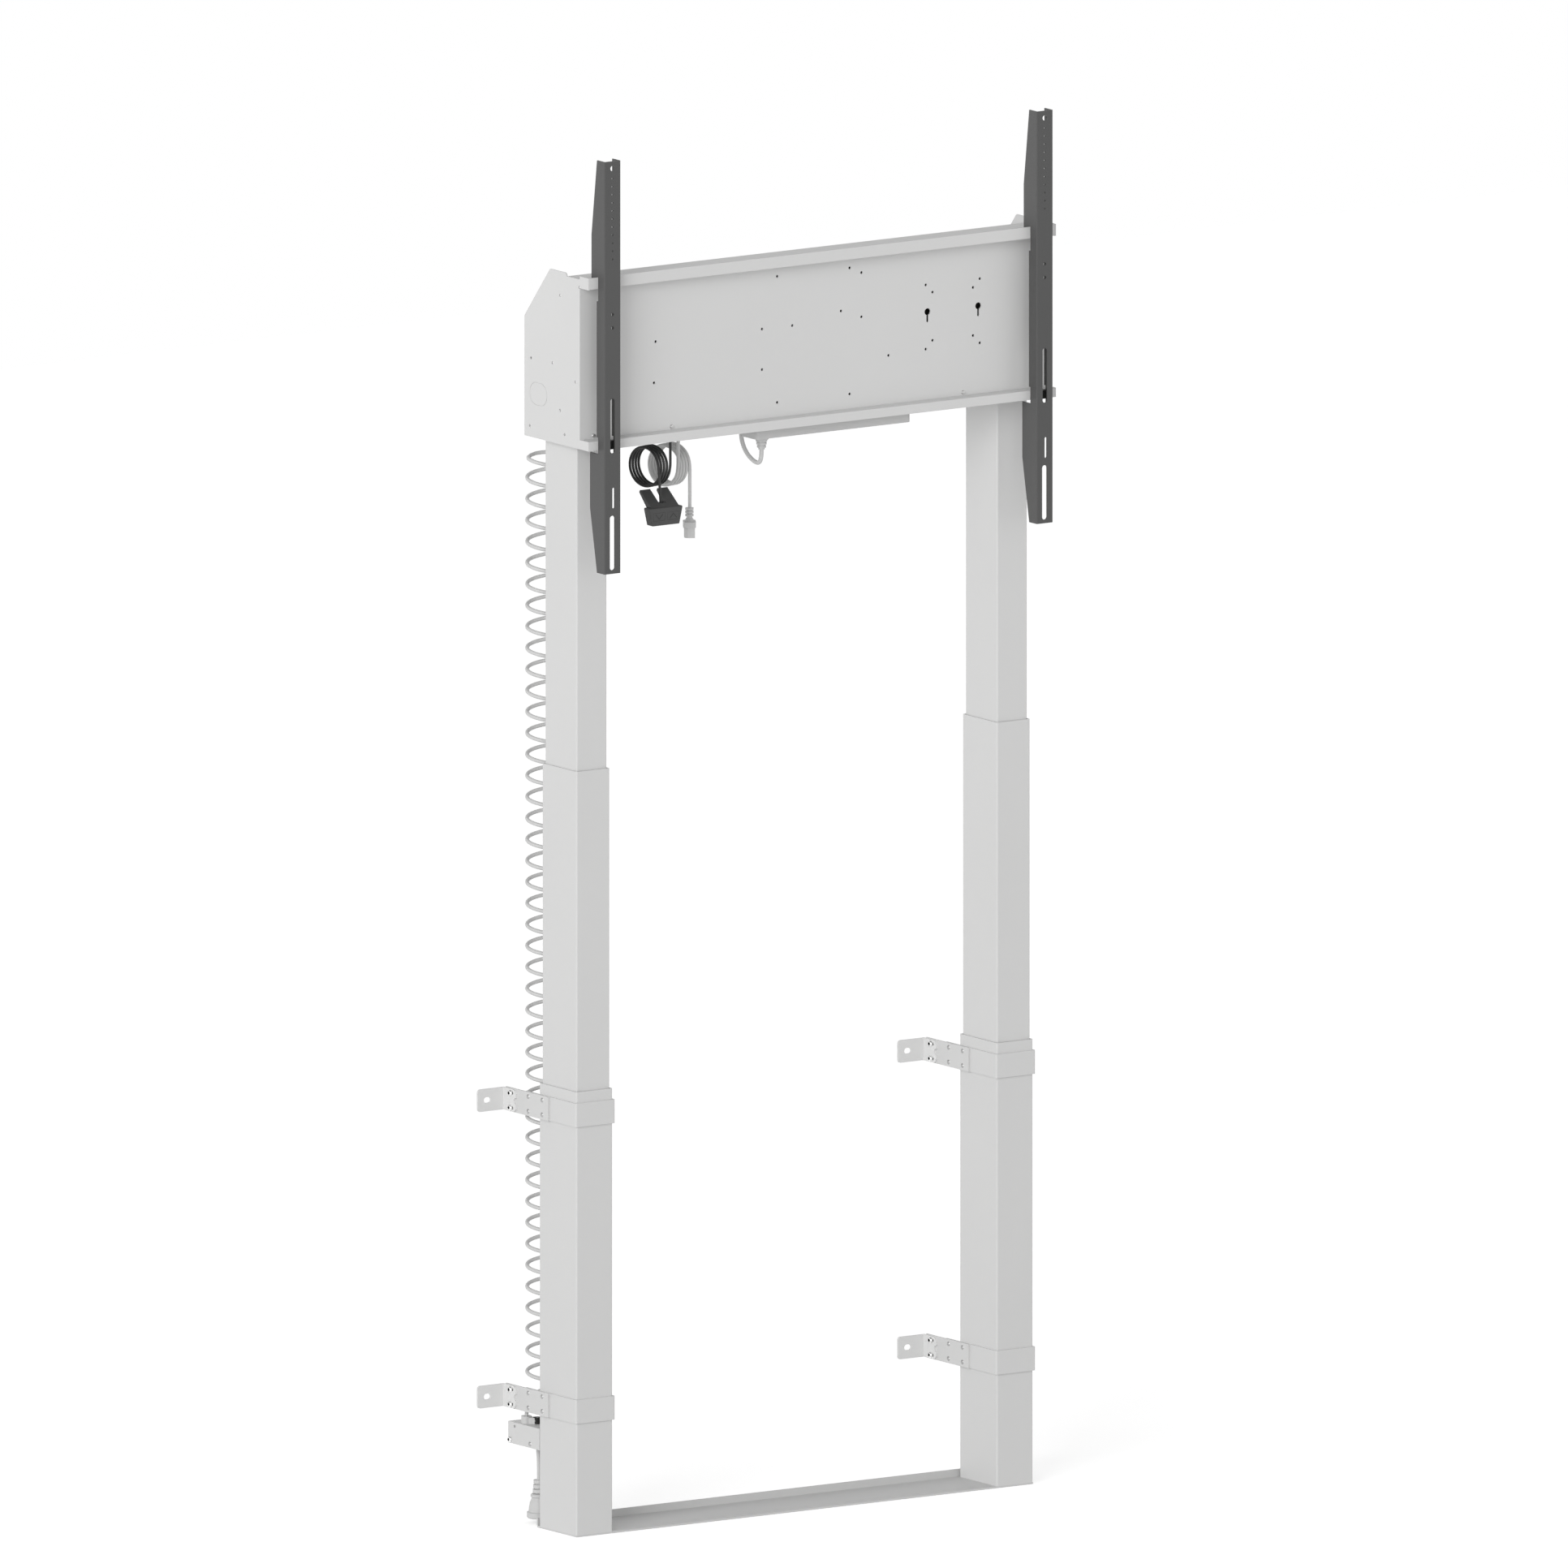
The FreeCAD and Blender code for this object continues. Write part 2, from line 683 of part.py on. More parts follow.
# Mains plug: tapered ribs, finger ring, swelling body, collar round two recessed pins
plug_rib_r = 8.3
plug_rib_taper = 0.6
plug_rib_step = 7.2
plug_gap_r = 5.6
plug_ribs = []
for i in range(3):
    plug_ribs += ribbed(plug_rib_r + i * plug_rib_taper, plug_gap_r, plug_top_z - i * plug_rib_step, 1, 5.2, 2.0)
plug_ring_z = plug_ribs[-1][1]
ring_height = 5.8
collar_z = plug_floor_gap + 9.0
collar_wall = 2.0
collar_depth = 17.0
ring_edge = 1.4
waist_z = plug_ring_z - ring_height
body_z = collar_z + 5.5
mains_plug = turned([(0, plug_top_z)] + plug_ribs + [
    (plug_ring_r - ring_edge, plug_ring_z),
    (plug_ring_r, plug_ring_z - ring_edge),
    (plug_ring_r, waist_z + ring_edge),
    (plug_waist_r, waist_z),
    (plug_waist_r + 0.65 * (plug_body_r - plug_waist_r), waist_z - 0.4 * (waist_z - body_z)),
    (plug_body_r, body_z),
    (plug_body_r, collar_z + 0.8),
    (plug_collar_r, collar_z),
    (plug_collar_r, plug_floor_gap + ring_edge),
    (plug_collar_r - ring_edge, plug_floor_gap),
    (plug_body_r - collar_wall, plug_floor_gap),
    (plug_body_r - collar_wall, plug_floor_gap + collar_depth),
    (0, plug_floor_gap + collar_depth),
], plug_x, plug_y)
for s in (-1, 1):
    mains_plug = mains_plug.fuse(post(2.4, plug_floor_gap + 3.0, plug_floor_gap + collar_depth + 1.0,
                                      plug_x, plug_y + s * 9.5))
save("mains_plug", mains_plug)

# Front panel: web between two forward rails, with a rear flange along its top
web_z0 = head_z + lower_flange_z
web_z1 = head_z + rear_flange_z + sheet
upper_z = head_z + upper_flange_z
front_panel = box(-cheek_inner_x, cheek_inner_x, panel_front_y, web_back_y, web_z0, web_z1)
front_panel = front_panel.multiFuse([
    box(-cheek_inner_x, cheek_inner_x, rail_y, panel_front_y, web_z0, web_z0 + sheet),
    box(-cheek_inner_x, cheek_inner_x, rail_y, rail_y + sheet, head_z, web_z0 + sheet),
    box(-cheek_inner_x, cheek_inner_x, rail_y, panel_front_y, upper_z, upper_z + sheet),
    box(-cheek_inner_x, cheek_inner_x, rail_y, rail_y + sheet, upper_z, head_top),
    box(-cheek_inner_x, cheek_inner_x, web_back_y, web_back_y + rear_flange_depth, web_z1 - sheet, web_z1),
]).removeSplitter()
panel_bends = [e for e in front_panel.Edges if e.Length > cheek_inner_x
               and (abs(e.CenterOfMass.y - rail_y) < 0.01 and (abs(e.CenterOfMass.z - upper_z) < 0.01
                    or abs(e.CenterOfMass.z - web_z0 - sheet) < 0.01)
                    or abs(e.CenterOfMass.y - panel_front_y) < 0.01 and abs(e.CenterOfMass.z - web_z1) < 0.01)]
front_panel = front_panel.makeFillet(0.8 * sheet, panel_bends)

# Panel cut-outs: device pattern with two keyholes, and plain screw holes
device_x = 258.0
device_rise = 143.0
device_z = head_z + device_rise
device_hole_r = 2.2
device_pitches = (100.0, 75.0)
keyhole_spacing = 94.0
keyhole_head_r = 5.4
keyhole_tail_r = 1.9
keyhole_tail = 14.5
keyhole_rise = 8.0
panel_hole_r = 2.2
panel_hole_spots = (
    (-292, 154), (-295, 90), (-67, 233.5), (67, 233.5), (-67, 37), (67, 37), (-95, 154), (-39, 154),
    (-95, 91), (89, 224), (51, 168), (89, 155), (139, 90))
panel_bolt_inset = 23.6
panel_bolt_x = (panel_bolt_inset - cheek_inner_x, -262.8, 276.5, cheek_inner_x - panel_bolt_inset)
panel_bolt_head_r = 3.4
panel_bolt_head_height = 2.2
panel_bolt_r = 2.0
panel_bolt_z = web_z0 + sheet + panel_bolt_head_r + 1.0


def through_web(r, x, z):
    return rod(r, (x, panel_front_y, z), (0, 1, 0), 2 * sheet)


panel_cuts = [through_web(panel_hole_r, x, head_z + z) for x, z in panel_hole_spots]
for pitch in device_pitches:
    panel_cuts += [through_web(device_hole_r, device_x + sx * pitch / 2, device_z + sz * pitch / 2)
                   for sx in (-1, 1) for sz in (-1, 1)]
for s in (-1, 1):
    key_x = device_x + s * keyhole_spacing / 2
    key_z = device_z + keyhole_rise
    panel_cuts.append(through_web(keyhole_head_r, key_x, key_z))
    panel_cuts.append(obround(2 * keyhole_tail_r, keyhole_tail + keyhole_tail_r,
                              (key_x, panel_front_y + sheet / 2, key_z - (keyhole_tail + keyhole_tail_r) / 2),
                              (0, 0, 1), (0, 2 * sheet, 0)))
bolt_holes = [through_web(panel_bolt_r + shank_clear, x, panel_bolt_z) for x in panel_bolt_x]
corner_relief_r = 2.4
corner_relief = 8.0
for s in (-1, 1):
    panel_cuts.append(rod(corner_relief_r, (s * cheek_inner_x, panel_front_y + sheet / 2, upper_z + sheet / 2),
                          (-s, 0, 0), corner_relief))
save("front_panel", cut_all(front_panel, panel_cuts + bolt_holes))

panel_bolts = []
for x in panel_bolt_x:
    shank = through_web(panel_bolt_r, x, panel_bolt_z)
    head = Part.makeCone(panel_bolt_head_r, panel_bolt_head_r * 0.65, panel_bolt_head_height,
                         V(x, panel_front_y, panel_bolt_z), V(0, -1, 0))
    panel_bolts.append(shank.fuse(head))
save("panel_bolts", *panel_bolts)

# Cheeks: outline with ears that close the rail ends, folded inwards at front and rear
shoulder = head_z + cheek_shoulder_z
lower_ear = web_z0 + sheet
cheek = plate_yz([
    (rail_y, head_z),
    (head_rear_y, head_z),
    (head_rear_y, shoulder),
    (cheek_top_rear_y, head_top),
    (cheek_top_front_y, head_top),
    (web_back_y + rear_flange_depth, web_z1),
    (panel_front_y, web_z1),
    (panel_front_y, head_top),
    (rail_y, head_top),
    (rail_y, upper_z),
    (panel_front_y, upper_z),
    (panel_front_y, lower_ear),
    (rail_y, lower_ear),
], cheek_inner_x, cheek_inner_x + sheet)
round_spots = [(head_rear_y, shoulder), (cheek_top_rear_y, head_top), (cheek_top_front_y, head_top)]
round_edges = [e for e in cheek.Edges if abs(e.tangentAt(e.FirstParameter).x) > 0.99
               and any(abs(e.CenterOfMass.y - y) + abs(e.CenterOfMass.z - z) < 0.01 for y, z in round_spots)]
cheek = cheek.makeFillet(4.0, round_edges)
cheek = cheek.multiFuse([
    box(cheek_inner_x - cheek_flange, cheek_inner_x, web_back_y, web_back_y + sheet,
        head_z + tray_leg_height + 5.0, upper_z - 1.0),
    box(cheek_inner_x - cheek_return, cheek_inner_x, head_rear_y - sheet, head_rear_y,
        head_z + tray_lip_height + 2.0, shoulder),
])
cheek_hole_r = 2.3
cheek_hole_spots = ((-21, 232), (59, 123), (0, 124), (-63, 103), (-21, 53), (62, 17), (-33, 17))
cheek_cuts = [rod(cheek_hole_r, (cheek_inner_x, y, head_z + z), (1, 0, 0), sheet) for y, z in cheek_hole_spots]
cheek_cuts.append(rod(corner_relief_r, (cheek_inner_x, panel_front_y + sheet / 2, upper_z + sheet / 2), (1, 0, 0),
                      sheet))
knockout_length = 47.5
knockout_width = 35.5
knockout_y = 38.4
knockout_rise = 69.5
knockout_z = head_z + knockout_rise
groove = 0.6
groove_centre = (cheek_inner_x + sheet, knockout_y, knockout_z)
groove_cut = obround(knockout_width, knockout_length, groove_centre, (0, 1, 0), (2 * groove, 0, 0))
groove_cut = groove_cut.cut(obround(knockout_width - 2 * groove, knockout_length - 2 * groove, groove_centre,
                                    (0, 1, 0), (2 * groove, 0, 0)))
cheek = cut_all(cheek, cheek_cuts).cut(groove_cut)
save("cheek_right", cheek)
save("cheek_left", mirrored(cheek))

# Power strip through the tray, with round socket recesses that face down
strip_z0 = head_z - strip_drop
strip_z1 = strip_z0 + strip_height
strip_corner = 6.0
socket_floor = strip_z0 + socket_depth
first_socket_x = strip_x - (socket_count - 1) * socket_pitch / 2 - 11.0
socket_x = [first_socket_x + i * socket_pitch for i in range(socket_count)]
pin_hole_r = 2.6
pin_pitch = 19.0
pin_depth = 12.0
power_strip = rounded_prism(strip_length, strip_width, strip_corner, strip_z0, strip_z1, strip_x, strip_y)
power_strip = power_strip.fuse(rounded_prism(
    strip_length + 2 * strip_flange, strip_width + 2 * strip_flange, strip_corner,
    head_z + sheet, head_z + 2 * sheet, strip_x, strip_y))
strip_cuts = []
for x in socket_x:
    strip_cuts.append(post(socket_r, strip_z0, socket_floor, x, strip_y))
    strip_cuts += [post(pin_hole_r, socket_floor, socket_floor + pin_depth, x + s * pin_pitch / 2, strip_y)
                   for s in (-1, 1)]
save("power_strip", cut_all(power_strip, strip_cuts))

# Plug in the first socket, with a ribbed neck
strip_neck_z = strip_z0 - strip_neck_length
neck_ribs = []
neck_step = 5.0
for i in range(3):
    neck_ribs += ribbed(strip_neck_r - i, strip_neck_r - i - 2.0, strip_z0 - 4.0 - i * neck_step, 1, 3.0, 2.0)
strip_plug = turned([(0, socket_floor), (strip_plug_r, socket_floor), (strip_plug_r, strip_z0),
                     (strip_neck_r + 4.0, strip_z0), (strip_neck_r + 2.0, strip_z0 - 4.0)]
                    + neck_ribs + [(neck_ribs[-1][0], strip_neck_z), (0, strip_neck_z)], socket_x[0], strip_y)
strip_plug = strip_plug.multiFuse([
    post(pin_hole_r - shank_clear, socket_floor - 1.0, socket_floor + pin_depth - 2.0,
         socket_x[0] + s * pin_pitch / 2, strip_y) for s in (-1, 1)])
save("strip_plug", strip_plug)

# Lead of that plug: a loop back up into the tray
stub_z = head_z - grommet_height
strip_lead_bends = ((0.0, 0.0, -14.0), (-1.0, 6.0, -23.0), (-2.5, 19.0, -20.5), (-4.5, 34.0, -11.0),
                    (-7.0, 42.5, 4.0), (-8.0, 44.5, 20.0))
strip_lead_reach = 45.5
strip_lead_exit = (socket_x[0] - 8.0, strip_y + strip_lead_reach)
strip_lead_points = [(socket_x[0], strip_y, strip_neck_z)]
strip_lead_points += [(socket_x[0] + x, strip_y + y, strip_neck_z + z) for x, y, z in strip_lead_bends]
strip_lead_points.append((*strip_lead_exit, stub_z))
save("strip_lead", cord("strip_lead", strip_cord_r, strip_lead_points, limp=True))

# Hanks: closed rings in the outer shape of the coiled cords, with a drop above and a tail below
hank_axis = V(0.967, 0.254, 0).normalize()
hank_front = V(hank_axis.y, -hank_axis.x, 0)
handset_hank = V(handset_hank_x, handset_hank_y, head_z - handset_hank_drop)
display_hank = V(display_hank_x, display_hank_y, head_z - display_hank_drop)


def hank(centre, r):
    width = hank_spread + 2 * r
    start = centre - hank_axis * (width / 2)
    ring = Part.makeCylinder(hank_r + r, width, start, hank_axis)
    return ring.cut(Part.makeCylinder(hank_r - r, width, start, hank_axis))


def hank_point(centre, end):
    # Middle of the cord at the front of an end turn
    return centre + hank_front * hank_r + hank_axis * (end * hank_spread / 2)


def straight(r, start, finish):
    return Part.makeCylinder(r, (finish - start).Length, start, finish - start)


handset_entry = hank_point(handset_hank, 1)
handset_exit = (handset_entry.x, handset_entry.y)
handset_z1 = handset_z + handset_height / 2
cord_foot = V(handset_x, handset_front_y + handset_depth - 1.5, handset_z1 + (1 - fork_notch_share) * fork_rise)
save("handset_cord_coil", hank(handset_hank, handset_cord_r))
save("handset_cord_drop", straight(handset_cord_r, V(*handset_exit, stub_z), handset_entry))
save("handset_cord_tail", straight(handset_cord_r, hank_point(handset_hank, -1), cord_foot))

connector_top = head_z - connector_drop
connector_length = 45.6
connector_foot = hank_point(display_hank, 1)
display_entry = hank_point(display_hank, -1)
save("display_lead_coil", hank(display_hank, display_cord_r))
save("display_lead_drop", straight(display_cord_r, V(display_entry.x, display_entry.y, stub_z), display_entry))
save("display_lead_tail", straight(display_cord_r, connector_foot, V(connector_foot.x, connector_foot.y,
                                                                     connector_top)))

# Display connector: ribbed neck, shoulder and a nose with two cut corners
connector_width = 27.0
connector_depth = 19.5
connector_turn = 58.0
nose_length = 16.0
nose_step = 1.5
nose_chamfer = 5.0
neck_profile = ribbed(6.5, 4.5, connector_top, 3, 3.0, 2.0)
connector_z0 = connector_top - connector_length
body_z1 = neck_profile[-1][1] - 6.0
neck = turned([(0, connector_top)] + neck_profile + [(8.0, body_z1), (0, body_z1)],
              connector_foot.x, connector_foot.y)
connector = rounded_prism(connector_width, connector_depth, 4.0, connector_z0 + nose_length, body_z1,
                          connector_foot.x, connector_foot.y)
nose_x = connector_width / 2 - nose_step
nose_y = connector_depth / 2 - nose_step
nose_outline = [(-nose_x, -nose_y), (nose_x, -nose_y), (nose_x, nose_y - nose_chamfer),
                (nose_x - nose_chamfer, nose_y), (-nose_x + nose_chamfer, nose_y), (-nose_x, nose_y - nose_chamfer)]
nose_corners = [V(connector_foot.x + x, connector_foot.y + y, connector_z0) for x, y in nose_outline]
nose = Part.Face(Part.makePolygon(nose_corners + nose_corners[:1])).extrude(V(0, 0, nose_length))
connector = connector.multiFuse([neck, nose])
connector.rotate(V(connector_foot.x, connector_foot.y, 0), UP, connector_turn)
save("display_connector", connector)

# Glands and grommets through the tray
gland_r = 9.0
gland_y = head_rear_y - 17.0
gland_neck_r = 6.0
gland_nut = 4.0
glands = []
tray_holes = []


def grommet(x, y, r_neck, r_flange, z0):
    body = post(r_flange, z0, head_z, x, y)
    neck = post(r_neck, head_z, head_z + sheet, x, y)
    nut = post(r_flange, head_z + sheet, head_z + sheet + gland_nut, x, y)
    tray_holes.append(post(r_neck + shank_clear, head_z, head_z + sheet, x, y))
    return body.multiFuse([neck, nut])


glands.append(grommet(-column_x, gland_y, gland_neck_r, gland_r, head_z - gland_height))
small_exits = (
    (*handset_exit, handset_cord_r),
    (display_entry.x, display_entry.y, display_cord_r),
    (*strip_lead_exit, strip_cord_r))
for x, y, r in small_exits:
    glands.append(grommet(x, y, r + grommet_wall / 2, r + grommet_wall, stub_z))
save("cord_gland", *glands)

# Bottom tray: floor of the head, with a leg behind the panel and a rear lip
bottom_tray = box(-cheek_inner_x, cheek_inner_x, web_back_y, head_rear_y, head_z, head_z + sheet)
bottom_tray = bottom_tray.multiFuse([
    box(-cheek_inner_x, cheek_inner_x, web_back_y, web_back_y + sheet, head_z, head_z + tray_leg_height),
    box(-cheek_inner_x, cheek_inner_x, head_rear_y - sheet, head_rear_y, head_z, head_z + tray_lip_height),
]).removeSplitter()
for s in (-1, 1):
    tray_holes.append(rounded_prism(inner_width + 2 * fit_clear, inner_depth + 2 * fit_clear, tube_corner,
                                    head_z, head_z + sheet, s * column_x))
tray_holes.append(rounded_prism(strip_length + 2 * fit_clear, strip_width + 2 * fit_clear, strip_corner,
                                head_z, head_z + sheet, strip_x, strip_y))
save("bottom_tray", cut_all(bottom_tray, tray_holes + bolt_holes))

# Motor brackets: plate on the inner tube, upstand on the cheek, boss round the top bearing
bracket_z1 = inner_z1 + bracket_plate
boss_r = pocket_r + boss_wall
motor_bracket = box(column_x - bracket_inboard, cheek_inner_x, -bracket_half_depth, bracket_half_depth,
                    inner_z1, bracket_z1)
motor_bracket = motor_bracket.multiFuse([
    box(cheek_inner_x - bracket_plate, cheek_inner_x, -bracket_half_depth, bracket_half_depth,
        inner_z1, bracket_z1 + bracket_upstand),
    post(boss_r, head_z, inner_z1, column_x),
])
motor_bracket = cut_all(motor_bracket, [
    post(pocket_r, head_z, inner_z1, column_x),
    post(top_journal_r + 1.0, inner_z1, bracket_z1, column_x),
])
save("motor_bracket_right", motor_bracket)
save("motor_bracket_left", mirrored(motor_bracket))

# Gear motors: gearbox over the spindle, motor standing beside it
gearbox_z1 = bracket_z1 + gearbox_height
gearbox_length = gearbox_outboard + gearbox_inboard
gear_motor = rounded_prism(gearbox_length, gearbox_depth, 8.0, bracket_z1, gearbox_z1,
                           column_x + gearbox_outboard - gearbox_length / 2)
motor_x = column_x - motor_offset
motor_cap = 6.0
gear_motor = gear_motor.fuse(turned([
    (0, gearbox_z1), (motor_r, gearbox_z1), (motor_r, gearbox_z1 + motor_height - motor_cap),
    (motor_r - motor_cap, gearbox_z1 + motor_height), (0, gearbox_z1 + motor_height)], motor_x))
gear_motor = gear_motor.cut(post(top_journal_r + bearing_clear, bracket_z1, spindle_top + 3.5, column_x))
save("gear_motor_right", gear_motor)
save("gear_motor_left", mirrored(gear_motor))

# Control box on the back of the panel, with a stepped lid
lid = 3.0
control_x0 = control_x - control_length / 2
control_z0 = head_z + control_bottom
control_box = box(control_x0, control_x0 + control_length, web_back_y, web_back_y + control_depth - lid,
                  control_z0, control_z0 + control_height)
control_box = control_box.fuse(box(control_x0 + lid, control_x0 + control_length - lid, web_back_y,
                                   web_back_y + control_depth, control_z0 + lid, control_z0 + control_height - lid))
save("control_box", control_box)

# Display arms: channels that hook over the upper rail and reach under the lower one
arm_y = rail_y - display_arm_front
arm_half = display_arm_width / 2
lip_front = rail_y - hook_clear
lip_back = rail_y + sheet + hook_clear
hook_z = head_top + hook_clear
lower_hook_z = head_z - hook_under_rail
lower_taper_z = display_arm_bottom + display_arm_lower_taper
upper_taper_z = display_arm_top - display_arm_upper_taper
waist_z0 = web_z0 + sheet + waist_above_lower_rail
waist_z1 = upper_z - waist_below_upper_rail
flange_outline = [
    (arm_y, display_arm_bottom),
    (arm_y + display_arm_end_depth, display_arm_bottom),
    (arm_y + display_arm_lower_depth, lower_taper_z),
    (arm_y + display_arm_lower_depth, lower_hook_z),
    (lip_front, lower_hook_z),
    (lip_front, waist_z0),
    (arm_y + display_arm_waist_depth, waist_z0),
    (arm_y + display_arm_waist_depth, waist_z1),
    (lip_front, waist_z1),
    (lip_front, hook_z),
    (lip_back, hook_z),
    (lip_back, hook_z - hook_tooth),
    (arm_y + display_arm_upper_depth, hook_z - hook_tooth),
    (arm_y + display_arm_upper_depth, upper_taper_z),
    (arm_y + display_arm_end_depth, display_arm_top),
    (arm_y, display_arm_top),
]
lip_outline = [(arm_y, display_arm_bottom), (arm_y + display_arm_lip_depth, display_arm_bottom),
               (arm_y + display_arm_lip_depth, lower_hook_z)] + flange_outline[4:13] + [
    (arm_y + display_arm_end_depth, upper_taper_z), (arm_y + display_arm_end_depth, display_arm_top),
    (arm_y, display_arm_top)]
bridge_z = head_z + lower_flange_z / 2
bridge_height = 13.0
bridge_thickness = 2.0
display_arm = box(-arm_half, arm_half, arm_y, arm_y + display_arm_sheet, display_arm_bottom, display_arm_top)
display_arm = display_arm.multiFuse([
    plate_yz(flange_outline, -arm_half, -arm_half + display_arm_sheet),
    plate_yz(lip_outline, arm_half - display_arm_sheet, arm_half),
    box(-arm_half + display_arm_sheet, arm_half - display_arm_sheet, lip_front - bridge_thickness, lip_front,
        bridge_z - bridge_height / 2, bridge_z + bridge_height / 2),
]).removeSplitter()
arm_bends = [e for e in display_arm.Edges if e.Length > 0.9 * (display_arm_top - display_arm_bottom)
             and e.CenterOfMass.y < arm_y + 0.01]
display_arm = display_arm.makeFillet(0.9 * display_arm_sheet, arm_bends)

# Arm cut-outs, as depths below the top end: screw hole, hole row, pair of holes and three slots
screw_hole_r = 4.25
screw_hole_drop = 11.1
row_hole_r = 1.6
row_first = 26.6
row_pitch = 12.6
row_count = 11
pair_drops = (238.6, 259.6)
pair_r = 2.6
slots = ((8.4, 0.0, 369.6, 455.0), (4.2, 1.6, 508.6, 541.1), (9.0, -0.6, 552.1, 637.0))


def arm_hole(r, drop):
    return rod(r, (0, arm_y, display_arm_top - drop), (0, 1, 0), display_arm_sheet)


arm_cuts = [arm_hole(screw_hole_r, screw_hole_drop)]
arm_cuts += [arm_hole(row_hole_r, row_first + i * row_pitch) for i in range(row_count)]
arm_cuts += [arm_hole(pair_r, drop) for drop in pair_drops]
for width, x, top, bottom in slots:
    arm_cuts.append(obround(width, bottom - top, (x, arm_y + display_arm_sheet / 2,
                                                  display_arm_top - (top + bottom) / 2),
                            (0, 0, 1), (0, 2 * display_arm_sheet, 0)))
for cutter in arm_cuts:
    display_arm = display_arm.cut(cutter)
display_arm_x = head_width / 2 - display_arm_inset
save("arm_left", moved(display_arm, -display_arm_x))
save("arm_right", moved(display_arm, display_arm_x))

# Handset: tapered body with two button pockets and a forked clip at its back
handset_z0 = handset_z - handset_height / 2
handset_back_y = handset_front_y + handset_depth
handset = plate_xz([
    (handset_x - handset_top_width / 2, handset_z1),
    (handset_x - handset_bottom_width / 2, handset_z0),
    (handset_x + handset_bottom_width / 2, handset_z0),
    (handset_x + handset_top_width / 2, handset_z1),
], handset_front_y, handset_back_y)
handset = handset.makeFillet(2.0, handset.Edges)
fork_y = handset_front_y + fork_inset
fork_root = 3.0
fork = plate_yz([
    (fork_y, handset_z1 - fork_root),
    (handset_back_y - fork_inset, handset_z1 - fork_root),
    (handset_back_y, handset_z1),
    (fork_y + fork_back + fork_thickness / 2, handset_z1 + fork_rise - fork_thickness),
    (fork_y + fork_back, handset_z1 + fork_rise),
    (fork_y, handset_z1),
], handset_x - fork_width / 2, handset_x + fork_width / 2)
notch_r = fork_notch_width / 2
fork = fork.cut(box(handset_x - notch_r, handset_x + notch_r, fork_y, handset_back_y + fork_back,
                    cord_foot.z, handset_z1 + fork_rise))
handset = handset.fuse(fork)


def button_block(x, clear, depth):
    block = box(x - button_width / 2 - clear, x + button_width / 2 + clear, handset_front_y,
                handset_front_y + depth, handset_z - button_height / 2 - clear,
                handset_z + button_height / 2 + clear)
    corners = [e for e in block.Edges if abs(e.tangentAt(e.FirstParameter).y) > 0.99]
    return block.makeFillet(2.0 + clear, corners)


pocket_depth = button_depth + button_travel + 2 * button_clear
for name, s in (("button_down", -1), ("button_up", 1)):
    x = handset_x + s * button_spacing / 2
    handset = handset.cut(button_block(x, button_clear, pocket_depth))
    save(name, button_block(x, 0.0, button_depth))
save("handset", handset)
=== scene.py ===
import math

import bmesh
import bpy
from mathutils import Matrix, Vector


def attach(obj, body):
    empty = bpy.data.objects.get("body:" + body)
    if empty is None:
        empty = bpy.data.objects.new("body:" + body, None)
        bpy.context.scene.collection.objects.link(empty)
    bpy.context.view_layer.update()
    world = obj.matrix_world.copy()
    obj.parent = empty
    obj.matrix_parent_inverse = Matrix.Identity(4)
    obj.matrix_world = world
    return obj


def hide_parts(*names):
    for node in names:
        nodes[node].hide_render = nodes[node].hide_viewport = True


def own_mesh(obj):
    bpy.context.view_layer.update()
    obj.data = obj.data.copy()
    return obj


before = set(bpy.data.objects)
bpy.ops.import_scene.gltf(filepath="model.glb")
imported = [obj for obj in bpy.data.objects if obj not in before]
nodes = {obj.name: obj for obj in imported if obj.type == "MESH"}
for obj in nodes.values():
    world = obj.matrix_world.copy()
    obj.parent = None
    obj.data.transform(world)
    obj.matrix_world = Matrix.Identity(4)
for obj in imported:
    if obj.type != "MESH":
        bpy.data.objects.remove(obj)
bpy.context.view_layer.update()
scene = bpy.context.scene
scene.view_settings.view_transform = "Standard"

MM = 0.001
TURN = 2 * math.pi
SHARP_EDGE = math.radians(35)


class Value:
    """A shader socket that takes part in Python arithmetic."""

    def __init__(self, finish, socket):
        self.finish = finish
        self.socket = socket

    def math(self, operation, first, second):
        return self.finish.node("ShaderNodeMath", {"operation": operation}, {0: first, 1: second})

    def __add__(self, other):
        return self.math("ADD", self, other)

    def __radd__(self, other):
        return self.math("ADD", other, self)

    def __rmul__(self, other):
        return self.math("MULTIPLY", other, self)


